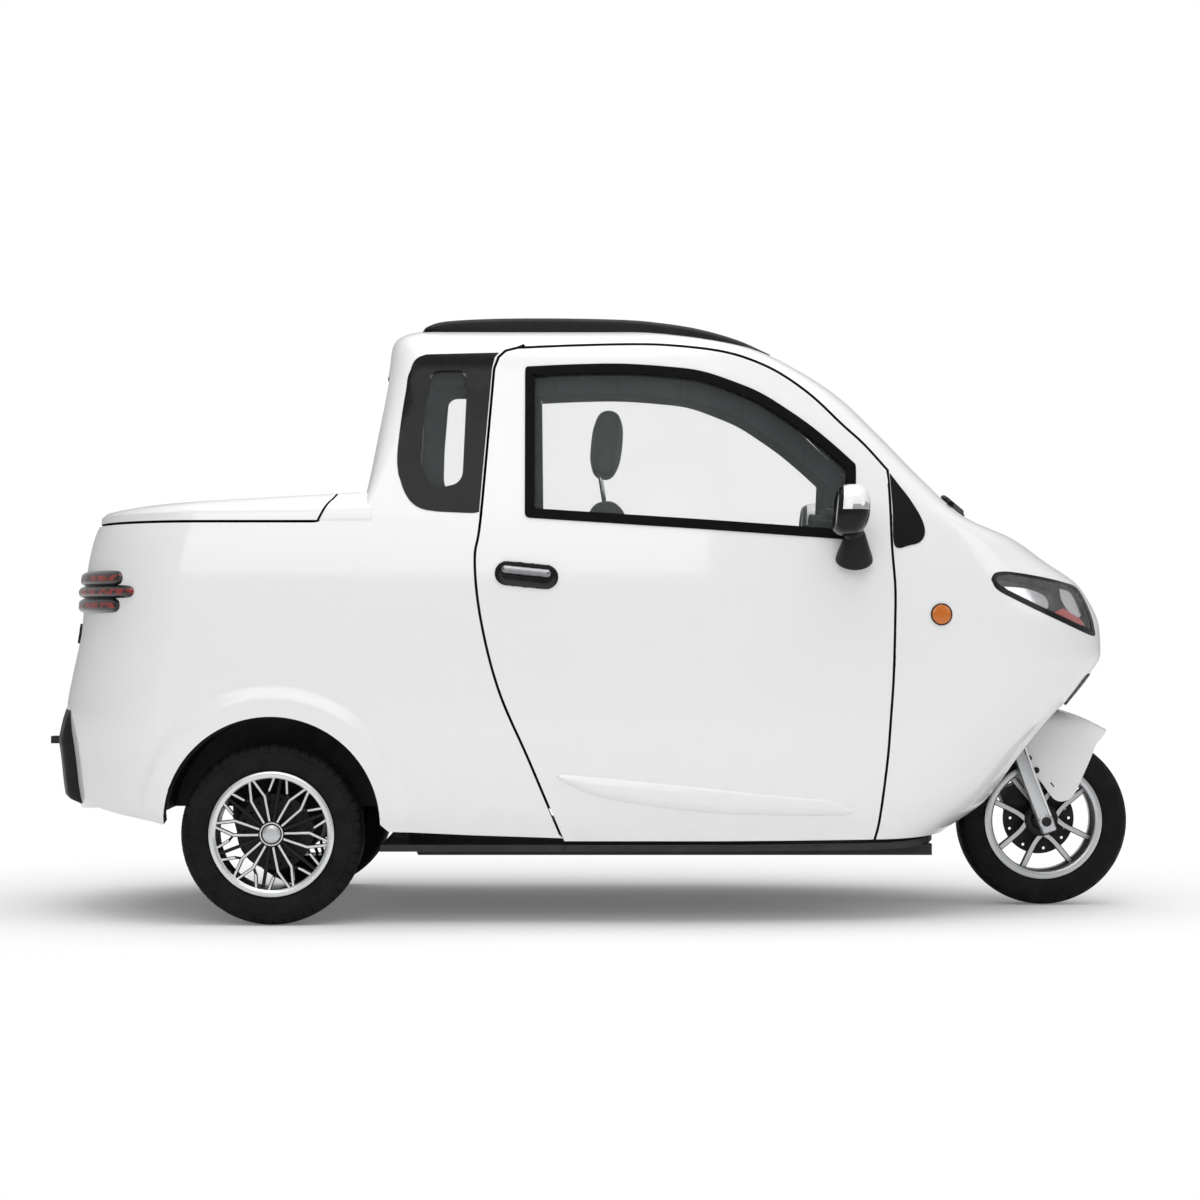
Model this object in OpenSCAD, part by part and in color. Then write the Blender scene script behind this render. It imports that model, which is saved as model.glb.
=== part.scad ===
// Electric three-wheeled cabin scooter: one steered front wheel on a fork, two driven rear wheels,
// a closed cab with two hinged doors, and a rear load box under a hinged lid.
// +X points to the nose, +Y to the left side, +Z up; the ground is at Z = 0.

/* [Wheels] */
// Outside diameter of the front tyre
front_tyre_d = 473; // [450:1:490]
// Width of the front tyre
front_tyre_w = 116; // [100:1:124]
// Outside diameter of the rear tyres
rear_tyre_d = 477; // [450:1:490]
// Width of the rear tyres
rear_tyre_w = 122; // [105:1:130]
// Outside diameter of the rim flanges
rim_d = 326; // [310:1:340]
// Front axle ahead of the origin
front_axle_x = 1268.5; // [1255:0.5:1280]
// Rear axle behind the origin
rear_axle_back = 824; // [800:1:850]
// Distance between the middles of the rear tyres
rear_track = 1050; // [1030:1:1060]
// Radius of the wheel spindles
spindle_r = 10; // [8:0.5:12]
// Diameter of the brake discs
disc_d = 200; // [180:1:220]

/* [Steering] */
// Lean of the fork from upright, in degrees
rake = 21; // [18:0.5:24]
// Distance of the steering axis behind the front axle
stem_offset = 25; // [15:1:35]
// Distance from the wheel's middle to a fork leg
leg_y = 88; // [84:1:96]
// Radius of the lower fork legs
leg_r = 21; // [18:0.5:23]
// Radius of the steering stem
stem_r = 22; // [18:0.5:24]
// Radius of the round well in which fork and wheel turn
well_r = 245; // [242:1:255]

/* [Body] */
// Half of the greatest body width
half_width = 600; // [570:1:620]
// Thickness of the cab, nose and load box walls
wall = 32; // [26:1:38]
// Thickness of the doors
door_t = 32; // [26:1:34]
// Shut line between a door or the lid and the body
shut_gap = 7; // [6:0.5:9]
// Height where the cab meets the lower body
belt_z = 1070; // [1060:1:1075]
// Height of the rim of the load box
box_rim_z = 1050; // [1040:1:1056]
// Top of the floor plate
floor_z = 208; // [204:1:210]
// Thickness of the floor plate
floor_t = 18; // [12:1:24]
// Radius of the rear wheel arch
arch_r = 283; // [276:1:292]
// Thickness of all glass panes
glass_t = 5; // [4:0.5:7]
// Width of the black rubber seal round a door window
seal_w = 26; // [18:1:32]

/* [Seat] */
// Width of the seat
seat_w = 480; // [420:5:520]
// Top of the seat cushion
seat_z = 590; // [560:1:620]
// Lean of the seat back, in degrees
seat_lean = 9; // [4:1:14]

/* [Hidden] */
$fn = 48;
fit = 0.3;           // seat clearance between pieces that stay together
run = 0.05;          // running clearance on a spindle or pin
far = 2000;          // beyond the vehicle on every side
front_axle_z = front_tyre_d / 2;
rear_axle_z = rear_tyre_d / 2;
rear_axle_x = -rear_axle_back;
stem_x = front_axle_x - stem_offset / cos(rake);
stem_up = [-sin(rake), 0, cos(rake)];
stem_base = [stem_x, 0, front_axle_z];
function on_stem(height) = stem_base + stem_up * (height - front_axle_z) / cos(rake);

// Body sections, one row for each height
Z = 0;
TAIL = 1;
NOSE = 2;
PINCH = 3;           // taken off the half width at this height
BEND = 4;            // length of the rounded nose corner
POWER = 5;           // squareness of that corner
LOWER = [
    [218, -1330, 960, 50, 240, 2.3],
    [300, -1438, 1044, 27, 320, 2.3],
    [423, -1455, 1151, 11, 360, 2.3],
    [540, -1469, 1281, 1, 370, 2.3],
    [641, -1453, 1392, 0, 380, 2.3],
    [700, -1440, 1429, 0, 380, 2.3],
    [767, -1427, 1426, 0, 370, 2.3],
    [885, -1417, 1370, 1, 350, 2.3],
    [958, -1405, 1266, 5, 290, 2.4],
    [1020, -1388, 1174, 12, 230, 2.6],
    [belt_z, -1366, 1005, 20, 135, 3],
];
UPPER = [
    [belt_z, -605, 1005, 20, 135, 3],
    [1166, -591, 888, 45, 130, 3],
    [1300, -572, 744, 83, 130, 3],
    [1400, -558, 632, 112, 130, 3],
    [1492, -544, 511, 138, 130, 3],
    [1525, -541, 440, 155, 130, 3],
    [1550, -533, 335, 186, 130, 3],
    [1570, -505, 215, 248, 130, 3],
    [1585, -430, 110, 345, 130, 3],
    [1595, -300, -20, 480, 130, 3],
];
roof_z = 1595;
// Lid of the load box: rows above its rim, the lift spread from tail to front
LID = [
    [box_rim_z + shut_gap, -1370, -600, 17, 60, 12],
    [box_rim_z + 24, -1367, -600, 21, 60, 12],
    [box_rim_z + 34, -1352, -600, 35, 60, 12],
    [box_rim_z + 39, -1310, -600, 75, 60, 12],
];
lid_lift = 42;
lid_front_x = -657;
tail_bend = 300;
tail_power = 2;
cab_back_bend = 110;
cab_back_power = 3;
side_n = 4;
corner_n = 6;

function taper(x) = 1 - 0.45 * pow(max(0, x - 300) / 1130, 1.6) - 0.07 * pow(max(0, -900 - x) / 570, 2);
function side_y(row, x) = (half_width - row[PINCH]) * taper(x);
// How far the side has turned in towards the row's front end
function turn(row, x) =
    pow(max(0.3, 1 - pow(max(0, x - row[NOSE] + row[BEND]) / row[BEND], row[POWER])), 1 / row[POWER]);
function pinch_at(z) = lookup(z, [for (r = concat(LOWER, UPPER)) [r[Z], r[PINCH]]]);
function skin_y(x, z) = (half_width - pinch_at(z)) * taper(x);

// Half of a plan outline, from the side at x0 round a corner to the middle at the end
function plan_half(row, x0, end, bend, power, inset, drop) =
    let (dir = sign(end - x0), tip = end - dir * inset, xc = end - dir * bend)
    concat(
        [for (i = [0:side_n - 1]) let (x = x0 + (xc - x0) * i / side_n)
            [x, side_y(row, x) - inset, row[Z] - drop]],
        [for (i = [0:corner_n]) let (a = 90 * i / corner_n, x = xc + (tip - xc) * pow(sin(a), 2 / power))
            [x, (side_y(row, x) - inset) * pow(cos(a), 2 / power), row[Z] - drop]]);
function reversed(list) = [for (i = [len(list) - 1:-1:0]) list[i]];
function other_side(list) = [for (p = list) [p.x, -p.y, p.z]];
function rest_of(list) = [for (i = [1:len(list) - 1]) list[i]];
// Whole outline that is open at x0: left side, round the end, right side
function u_ring(row, x0, end, bend, power, inset) =
    let (h = plan_half(row, x0, end, bend, power, inset, 0)) concat(h, other_side(rest_of(reversed(h))));
function nose_ring(row, x0, inset) = u_ring(row, x0, row[NOSE], row[BEND], row[POWER], inset);
function tail_ring(row, x0, inset) = u_ring(row, x0, row[TAIL], tail_bend, tail_power, inset);
// Whole closed outline with a rear and a front end
function closed_ring(row, back_bend, back_power, inset, drop) =
    let (
        mid = (row[NOSE] - row[BEND] + row[TAIL] + back_bend) / 2,
        f = plan_half(row, mid, row[NOSE], row[BEND], row[POWER], inset, drop),
        r = plan_half(row, mid, row[TAIL], back_bend, back_power, inset, drop),
        h = concat(reversed(rest_of(r)), f))
    concat(h, other_side([for (i = [len(h) - 2:-1:1]) h[i]]));

function quad(a, b, c, d) = [[a, b, c], [a, c, d]];
// Solid between two stacks of outlines with the same number of points
module wall_loft(outer, inner, closed, capped) {
    rows = len(outer);
    n = len(outer[0]);
    t = rows - 1;
    last = closed ? n - 1 : n - 2;
    function id(k, side, i) = (k * 2 + side) * n + i % n;
    skins = [for (k = [0:rows - 2], i = [0:last], q = concat(
        quad(id(k, 0, i), id(k, 0, i + 1), id(k + 1, 0, i + 1), id(k + 1, 0, i)),
        quad(id(k, 1, i), id(k + 1, 1, i), id(k + 1, 1, i + 1), id(k, 1, i + 1)))) q];
    low = [for (i = [0:last], q = quad(id(0, 1, i), id(0, 1, i + 1), id(0, 0, i + 1), id(0, 0, i))) q];
    high = capped
        ? [[for (i = [0:n - 1]) id(t, 0, i)], [for (i = [n - 1:-1:0]) id(t, 1, i)]]
        : [for (i = [0:last], q = quad(id(t, 0, i), id(t, 0, i + 1), id(t, 1, i + 1), id(t, 1, i))) q];
    ends = closed ? [] : [for (k = [0:rows - 2], q = concat(
        quad(id(k, 1, 0), id(k, 0, 0), id(k + 1, 0, 0), id(k + 1, 1, 0)),
        quad(id(k, 0, n - 1), id(k, 1, n - 1), id(k + 1, 1, n - 1), id(k + 1, 0, n - 1)))) q];
    points = [for (k = [0:rows - 1], p = concat(outer[k], inner[k])) p];
    polyhedron(points, concat(skins, low, high, ends), convexity = 8);
}
// Full solid through a stack of outlines
module solid_loft(rings) {
    n = len(rings[0]);
    t = len(rings) - 1;
    sides = [for (k = [0:t - 1], i = [0:n - 1], q = quad(k * n + i, k * n + (i + 1) % n,
        (k + 1) * n + (i + 1) % n, (k + 1) * n + i)) q];
    polyhedron([for (r = rings, p = r) p],
        concat(sides, [[for (i = [n - 1:-1:0]) i], [for (i = [0:n - 1]) t * n + i]]), convexity = 4);
}
// One side's sheet of the body surface between two depths, on the left, from x0 to x1
module side_sheet(rows, x0, x1, steps, near_d, deep_d) {
    function line(row, d) = [for (i = [0:steps]) let (x = x0 + (min(x1, row[NOSE] - 30) - x0) * i / steps)
        [x, side_y(row, x) * turn(row, x) - d, row[Z]]];
    wall_loft([for (r = rows) line(r, near_d)], [for (r = rows) line(r, deep_d)], false, false);
}
SIDE_ROWS = concat(LOWER, rest_of(UPPER));
// Rows of the side surface that cover a band of heights
function rows_between(low, high) =
    let (n = len(SIDE_ROWS))
    [for (i = [0:n - 1])
        if (SIDE_ROWS[min(i + 1, n - 1)][Z] > low && SIDE_ROWS[max(i - 1, 0)][Z] < high) SIDE_ROWS[i]];

// Point on a smooth curve between p1 and p2
function between(p0, p1, p2, p3, t) =
    0.5 * (2 * p1 + (p2 - p0) * t + (2 * p0 - 5 * p1 + 4 * p2 - p3) * t * t
        + (3 * p1 - p0 - 3 * p2 + p3) * t * t * t);
function smooth(p, steps) = let (n = len(p)) [for (i = [0:n - 1], s = [0:steps - 1])
    between(p[(i + n - 1) % n], p[i], p[(i + 1) % n], p[(i + 2) % n], s / steps)];

// Drawn outline, x to the nose and y up, extruded across the vehicle
module through_side(y0, y1) {
    translate([0, y1, 0]) rotate([90, 0, 0]) linear_extrude(y1 - y0) children();
}
// Drawn outline, x to the left and y up, extruded along the vehicle
module through_front(x0, x1) {
    translate([x0, 0, 0]) rotate([90, 0, 90]) linear_extrude(x1 - x0) children();
}
module both_sides() {
    children();
    mirror([0, 1, 0]) children();
}
module on_side(side) {
    mirror([0, side < 0 ? 1 : 0, 0]) children();
}
module rod(p, q, r) {
    v = q - p;
    translate(p) rotate([0, acos(v.z / norm(v)), atan2(v.y, v.x)]) cylinder(h = norm(v), r = r);
}
// Round bar across the vehicle
module cross_bar(x, z, r, y0, y1) {
    translate([x, y0, z]) rotate([-90, 0, 0]) cylinder(h = y1 - y0, r = r);
}
// Block given by its low and high corners
module block(low, high) {
    translate(low) cube(high - low);
}
// Frame of the steering: Z along the stem, origin level with the axle
module on_steering() {
    translate(stem_base) rotate([0, -rake, 0]) children();
}

// Outlines seen from the side
door_foot_z = 218;
door_front = [[746, door_foot_z], [795, 990], [787, 1190]];
module door_outline(grow) {
    offset(delta = grow) polygon(concat(door_front,
        [[727, 1257], [667, 1312], [590, 1386], [508, 1445], [430, 1482], [350, 1505], [240, 1519]],
        [[138, 1524], [-205, 1514], [-248, 1498], [-262, 1460], [-281, 1065], [-290, 952], [-274, 796]],
        [[-228, 615], [-150, 433], [-69, 238], [-56, door_foot_z]]));
}
module window_outline(grow) {
    offset(delta = grow) offset(r = 18) offset(delta = -18)
        polygon([[-166, 1466], [85, 1474], [296, 1455], [454, 1397], [586, 1310], [706, 1206], [703, 1005],
            [-164, 1063]]);
}
module quarter_outline(grow) {
    offset(delta = grow) offset(r = 45) offset(delta = -45)
        polygon([[-474, 1490], [-288, 1490], [-306, 1082], [-412, 1086], [-496, 1165]]);
}
module pane_outline(grow) {
    offset(delta = grow) offset(r = 28) offset(delta = -28)
        polygon([[-412, 1455], [-335, 1455], [-342, 1160], [-424, 1140], [-436, 1300]]);
}
// Black triangle at the foot of a windscreen pillar; the lead opens its cut to the shut line
module sail_outline(grow, lead) {
    offset(delta = grow) {
        polygon([[806, 1160], [888, 1040], [872, 994], [806, 992]]);
        if (lead > 0) translate([806 - lead, 992]) square([lead + 1, 168]);
    }
}
module headlamp_outline(grow) {
    offset(delta = grow) polygon(smooth([[1058, 898], [1120, 912], [1235, 905], [1325, 878], [1380, 768],
        [1300, 772], [1170, 805], [1095, 848]], 2));
}
tail_lamp_y = 300;
module tail_lamp_outline(grow) {
    offset(delta = grow) polygon([[-1345, 928], [-1272, 926], [-1203, 886], [-1187, 871], [-1203, 856],
        [-1272, 818], [-1345, 812]]);
}
module moulding_outline() {
    polygon(smooth([[-84, 388], [180, 352], [480, 330], [640, 318], [700, 290], [600, 284], [300, 296],
        [60, 328]], 3));
}
module handle_outline(grow) {
    offset(r = 24 + grow) polygon([[-214, 921], [-108, 911], [-108, 908], [-214, 918]]);
}
module mirror_foot_outline() {
    offset(r = 12) polygon([[652, 984], [690, 986], [726, 938], [676, 942]]);
}
module screen_outline(grow) {
    offset(delta = grow) offset(r = 40) offset(delta = -40)
        polygon([[-415, 1115], [415, 1115], [374, 1464], [-374, 1464]]);
}
module back_light_outline(grow) {
    offset(delta = grow) offset(r = 50) offset(delta = -50)
        polygon([[-400, 1190], [400, 1190], [365, 1450], [-365, 1450]]);
}
arch_z = rear_axle_z + 24;
module arch(r) {
    cross_bar(rear_axle_x, arch_z, r, -far, far);
}

// Round amber lamps in the nose sides
marker = [932, 811];
marker_r = 29;
marker_turn = 15;
module marker_lamp(grow, out) {
    translate([marker.x, skin_y(marker.x, marker.y), marker.y]) rotate([-90, 0, -marker_turn])
        translate([0, 0, -1.2 * wall]) cylinder(h = 1.2 * wall + out, r = marker_r + grow);
}

// Body shell
nose_from = 690;
tail_from = -40;
corner_from = -1100;
nose_cut_y = 110;
sail_lead = 12;
screen_x = [300, 1200];
back_light_x = [-700, -300];
module front_body() {
    color("white") difference() {
        wall_loft([for (r = LOWER) nose_ring(r, nose_from, 0)],
            [for (r = LOWER) nose_ring(r, nose_from, wall)], false, false);
        through_side(-far, far) door_outline(shut_gap);
        block([0, -far, 0], [door_front[0].x, far, far]);
        on_steering() cylinder(h = 2 * far, r = well_r, center = true);
        both_sides() {
            through_side(nose_cut_y, far) headlamp_outline(fit);
            through_side(nose_cut_y, far) sail_outline(fit, sail_lead);
            marker_lamp(fit, wall);
        }
    }
}
module cab_shell() {
    function drop(row) = wall * (row[Z] - belt_z) / (roof_z - belt_z);
    color("white") difference() {
        wall_loft([for (r = UPPER) closed_ring(r, cab_back_bend, cab_back_power, 0, 0)],
            [for (r = UPPER) closed_ring(r, cab_back_bend, cab_back_power, wall, drop(r))], true, true);
        through_side(-far, far) door_outline(shut_gap);
        through_side(-far, far) quarter_outline(fit);
        through_side(-far, far) sail_outline(fit, sail_lead);
        through_front(screen_x[0], screen_x[1]) screen_outline(fit);
        through_front(back_light_x[0], back_light_x[1]) back_light_outline(fit);
    }
}
box_rim = [box_rim_z, -1374, 0, 17];
module rear_body() {
    rows = concat([for (r = LOWER) if (r[Z] < box_rim_z) r], [box_rim]);
    color("white") difference() {
        wall_loft([for (r = rows) tail_ring(r, tail_from, 0)], [for (r = rows) tail_ring(r, tail_from, wall)],
            false, false);
        through_side(-far, far) door_outline(shut_gap);
        arch(arch_r);
        through_side(-far, far) polygon([[-far, 0], [-far, 268], [-1440, 268], [-1304, 296], [-1141, 270],
            [-900, arch_z], [-700, arch_z], [-528, 244], [100, 228], [100, 0]]);
        both_sides() through_side(tail_lamp_y - fit, far) tail_lamp_outline(fit);
        tow_bar(fit);
    }
}
// White bands under the quarter windows, level with the lid
module quarter_bands() {
    color("white") both_sides() difference() {
        side_sheet([[box_rim_z, 0, far, 17, 100, 3], [belt_z, 0, far, 20, 100, 3]],
            cab_back_x, -200, 4, 0, wall);
        through_side(0, far) door_outline(shut_gap);
    }
}
cab_back_x = UPPER[0][TAIL];
function lid_ring(row, inset, drop, rise) =
    [for (p = closed_ring(row, tail_bend - 10, tail_power, inset, drop))
        [p.x, p.y, p.z + lid_lift * rise * (p.x - LID[0][TAIL]) / (LID[0][NOSE] - LID[0][TAIL])]];
lid_t = 14;
lid_edge_t = 20;
module lid_loft() {
    top = len(LID) - 1;
    wall_loft([for (i = [0:top]) lid_ring(LID[i], 0, 0, i / top)],
        [for (i = [0:top]) lid_ring(LID[i], lid_edge_t, i == 0 ? 0 : lid_t, i / top)], true, true);
}
module lid() {
    color("white") intersection() {
        lid_loft();
        block([-far, -far, 0], [lid_front_x - shut_gap / 2, far, far]);
    }
}
module deck_strip() {
    color("white") difference() {
        lid_loft();
        block([-far, -far, 0], [lid_front_x + shut_gap / 2, far, far]);
        block([cab_back_x - 2 * fit, -far, 0], [far, far, far]);
    }
}
// Partition between cab and load box, cut to the inside of the walls
part_x = -610;
part_t = 10;
rim_turn_in = 22;
liner_foot_z = 300;
module partition() {
    color("dimgray") difference() {
        through_front(part_x, part_x + part_t) polygon(concat(
            [for (r = LOWER) if (r[Z] < box_rim_z) [(half_width - r[PINCH]) - wall - fit, r[Z]]],
            [[half_width - wall - rim_turn_in, box_rim_z], [wall + rim_turn_in - half_width, box_rim_z]],
            reversed([for (r = LOWER) if (r[Z] < box_rim_z) [wall + fit - (half_width - r[PINCH]), r[Z]]])));
        block([-far, -far, 0], [0, far, liner_foot_z]);
        difference() {
            arch(arch_r + fit);
            block([-far, -liner_y + fit, 0], [0, liner_y - fit, far]);
        }
        both_sides() {
            kick_rail(2);
            block([part_x - 1, spring_y - spring_w / 2 - 2, 0], [0, spring_y + spring_w / 2 + 2, kick_z[0]]);
        }
    }
}
liner_y = 395;
liner_t = 6;
axle_hole_r = 70;
module rear_arch_liners() {
    color("black") both_sides() difference() {
        cross_bar(rear_axle_x, arch_z, arch_r - fit, liner_y, half_width - wall - 8);
        cross_bar(rear_axle_x, arch_z, arch_r - liner_t, liner_y + liner_t, far);
        cross_bar(rear_axle_x, rear_axle_z, axle_hole_r, 0, far);
        block([-far, 0, -far], [0, far, liner_foot_z]);
    }
}
module front_well() {
    top = 400;
    color("black") intersection() {
        on_steering() difference() {
            translate([0, 0, -far]) cylinder(h = far + top, r = well_r - fit);
            translate([0, 0, -far - 1]) cylinder(h = far + top - 5, r = well_r - liner_t);
            cylinder(h = far, r = head_r + fit);
        }
        solid_loft([for (r = LOWER) nose_ring(r, nose_from, 4)]);
    }
}
load_floor_z = 572;
load_floor_t = 12;
module load_floor() {
    color("dimgray") translate([0, 0, load_floor_z - load_floor_t]) linear_extrude(load_floor_t)
        polygon([for (p = tail_ring([0, -1463, 0, 2], part_x - 1, wall + 6)) [p.x, p.y]]);
}

// Glass and its frames
screen_sink = 6;
screen_wrap = 190;
screen_top_z = 1530;
module windscreen() {
    rows = [for (r = UPPER) if (r[Z] < screen_top_z) r];
    color("lightblue", 0.4) intersection() {
        wall_loft([for (r = rows) nose_ring(r, r[NOSE] - screen_wrap, screen_sink)],
            [for (r = rows) nose_ring(r, r[NOSE] - screen_wrap, screen_sink + 1.4 * glass_t)], false, false);
        through_front(screen_x[0], screen_x[1]) screen_outline(0);
    }
}
module rear_window() {
    low = UPPER[0];
    high = UPPER[4];
    lean = atan((high[TAIL] - low[TAIL]) / (high[Z] - low[Z]));
    color("lightblue", 0.4) intersection() {
        translate([low[TAIL] + wall - 10 - glass_t, -far / 2, low[Z]]) rotate([0, lean, 0])
            cube([glass_t, far, far]);
        through_front(back_light_x[0], back_light_x[1]) back_light_outline(0);
    }
}
quarter_span = [-510, -270];
module quarter_frames() {
    color("black") both_sides() difference() {
        intersection() {
            side_sheet(rows_between(1075, 1495), quarter_span[0], quarter_span[1], 3, 1, wall - 4);
            through_side(0, far) quarter_outline(0);
        }
        through_side(0, far) pane_outline(fit);
    }
}
module quarter_panes() {
    color("lightblue", 0.4) both_sides() intersection() {
        side_sheet(rows_between(1135, 1460), quarter_span[0], quarter_span[1], 3, 8, 8 + glass_t);
        through_side(0, far) pane_outline(0);
    }
}
module sail_panels() {
    color("black") both_sides() intersection() {
        side_sheet(rows_between(990, 1170), 790, 900, 3, 0, wall);
        through_side(0, far) sail_outline(0, 0);
    }
}

// Doors
door_span = [-320, 830];
door_steps = 8;
// Part of a door's outer surface between two heights and two depths
module door_sheet(low, high, near_d, deep_d) {
    side_sheet(rows_between(low, high), door_span[0], door_span[1], door_steps, near_d, deep_d);
}
module door_panel(side) {
    color("white") on_side(side) {
        difference() {
            intersection() {
                door_sheet(door_foot_z, 1524, 0, door_t);
                through_side(0, far) door_outline(0);
            }
            through_side(0, far) window_outline(0);
            intersection() {
                door_sheet(880, 950, -10, handle_depth);
                through_side(0, far) handle_outline(6);
            }
        }
        intersection() {
            door_sheet(280, 390, -12, 4);
            through_side(0, far) moulding_outline();
        }
    }
}
module door_seal(side) {
    color("black") on_side(side) difference() {
        intersection() {
            door_sheet(1005, 1474, -2, door_t);
            through_side(0, far) window_outline(-fit);
        }
        through_side(0, far) window_outline(-seal_w);
    }
}
module door_glass(side) {
    color("lightblue", 0.4) on_side(side) intersection() {
        door_sheet(1005, 1474, 12, 12 + glass_t);
        through_side(0, far) window_outline(-seal_w - fit);
    }
}
handle_depth = 20;
module door_handle(side) {
    color("silver") on_side(side) difference() {
        intersection() {
            door_sheet(880, 950, -7, handle_depth - fit);
            through_side(0, far) handle_outline(0);
        }
        through_side(0, far) offset(r = 8) polygon([[-200, 908], [-122, 901], [-122, 860], [-200, 860]]);
    }
}
mirror_y = skin_y(690, 980);
module door_mirror(side) {
    color("black") on_side(side) {
        intersection() {
            door_sheet(930, 1030, -40, -fit);
            through_side(0, far) mirror_foot_outline();
        }
        hull() {
            translate([675, mirror_y + 30, 1000]) sphere(r = 22, $fn = 20);
            translate([672, mirror_y + 62, 1040]) sphere(r = 24, $fn = 20);
        }
        hull() for (p = [[-8, 60, 1045], [8, 60, 1095], [-6, 150, 1050], [10, 150, 1100]])
            translate([672 + p.x, mirror_y + p.y, p.z]) sphere(r = 38, $fn = 20);
    }
}
// Hinge pins of the doors lie on the slanted front shut line, just outside the skin
hinge_z = [560, 860];
hinge_pin_r = 4;
hinge_len = 46;
function shut_x(z) = shut_gap / 2 + lookup(z, [for (p = door_front) [p.y, p.x]]);
function hinge_point(x, z) = [x, skin_y(x, z) + 3, z];
function hinge_at(z) = hinge_point(shut_x(z), z);
hinge_run = hinge_at(hinge_z[1]) - hinge_at(hinge_z[0]);
hinge_dir = hinge_run / norm(hinge_run);
module door_hinges() {
    half = hinge_dir * hinge_len / 2;
    color("white") both_sides() for (z = hinge_z) {
        rod(hinge_at(z) - half, hinge_at(z) + half, hinge_pin_r);
        rod(hinge_point(shut_x(z) + 6, z) - half, hinge_point(shut_x(z) + 6, z) + half, 3 - fit);
    }
}
lid_pin = [lid_front_x, box_rim_z + 39 + lid_lift * 0.927 + 3];
module lid_hinges() {
    color("white") both_sides() cross_bar(lid_pin.x, lid_pin.y, hinge_pin_r, 300, 360);
}

// Lamps
module headlamps() {
    rows = rows_between(765, 915);
    color("lightgray") both_sides() intersection() {
        wall_loft([for (r = rows) nose_ring(r, 900, 0)],
            [for (r = rows) nose_ring(r, 900, wall)], false, false);
        through_side(nose_cut_y, far) headlamp_outline(0);
    }
}
module tail_lamps() {
    rows = rows_between(808, 930);
    color("darkred") both_sides() intersection() {
        wall_loft([for (r = rows) tail_ring(r, corner_from, -4)],
            [for (r = rows) tail_ring(r, corner_from, wall)], false, false);
        through_side(tail_lamp_y, far) tail_lamp_outline(0);
    }
}
module marker_lamps() {
    color("orange") both_sides() marker_lamp(0, 8);
}
rail_side = [338, 366];
module roof_rails() {
    color("black") difference() {
        both_sides() through_side(rail_side[0], rail_side[1]) polygon([[-442, 1572], [-428, 1585],
            [-380, 1599], [-250, 1605], [-75, 1606], [100, 1602], [200, 1592], [298, 1577], [400, 1549], [487, 1511],
            [487, 1470], [-442, 1470]]);
        solid_loft([for (r = UPPER) closed_ring(r, cab_back_bend, cab_back_power, -fit, -fit)]);
    }
}
bumper_t = 22;
bumper_half = 430;
module rear_bumper() {
    rows = rows_between(300, 540);
    color("black") difference() {
        wall_loft([for (r = rows) tail_ring(r, corner_from, -bumper_t)],
            [for (r = rows) tail_ring(r, corner_from, -fit)], false, false);
        both_sides() block([-far, bumper_half, 0], [far, far, far]);
        tow_bar(fit);
    }
}

// Chassis
rail_y = [250, 290];
rail_z = [160, floor_z - floor_t];
kick_z = [380, 420];
bar_half = 20;
rail_nose = 930;
rail_end = -440;
rail_tail = -1345;
// Straight length of a frame rail under the floor
module rail(grow) {
    block([rail_end - grow, rail_y[0] - grow, rail_z[0] - grow],
        [rail_nose + grow, rail_y[1] + grow, rail_z[1] + grow]);
}
// Rear length of a frame rail, kicked up over the axle
module kick_rail(grow) {
    through_side(rail_y[0] - grow, rail_y[1] + grow) offset(delta = grow)
        polygon([[rail_end - fit, rail_z[0]], [rail_end - fit, rail_z[1]], [-540, kick_z[1]],
            [rail_tail, kick_z[1]], [rail_tail, kick_z[0]], [-560, kick_z[0]], [-460, rail_z[0]]]);
}
head_r = stem_r + 11;
head_z = [645, 755];
post_x = [820, 860];
tow_z = 460;
tow_hole_r = 8;
tow_x = -1505;
tow_foot_x = -1400;
module tow_bar(grow) {
    block([tow_x - grow, -22 - grow, tow_z - 10 - grow], [tow_foot_x + 20, 22 + grow, tow_z + 10 + grow]);
}
post_z = 745;
beam_z = post_z - 40;
// Ladder of rails and cross members under the floor
module frame() {
    color("dimgray") {
        both_sides() rail(0);
        for (x = [600, -100, -419])
            block([x - bar_half, -rail_y[0] - 1, rail_z[0]], [x + bar_half, rail_y[0] + 1, rail_z[1]]);
    }
}
// Posts and beam that carry the steering head
module head_frame() {
    color("dimgray") difference() {
        union() {
            both_sides() block([post_x[0], rail_y[0], rail_z[1] + fit], [post_x[1], rail_y[1], post_z]);
            block([post_x[0], -rail_y[0] - 1, beam_z], [post_x[1], rail_y[0] + 1, post_z]);
            block([post_x[1] - 5, -30, beam_z], [on_stem(beam_z + 20).x, 30, post_z]);
            rod(on_stem(head_z[0]), on_stem(head_z[1]), head_r);
        }
        on_steering() cylinder(h = far, r = stem_r + run);
    }
}
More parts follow.
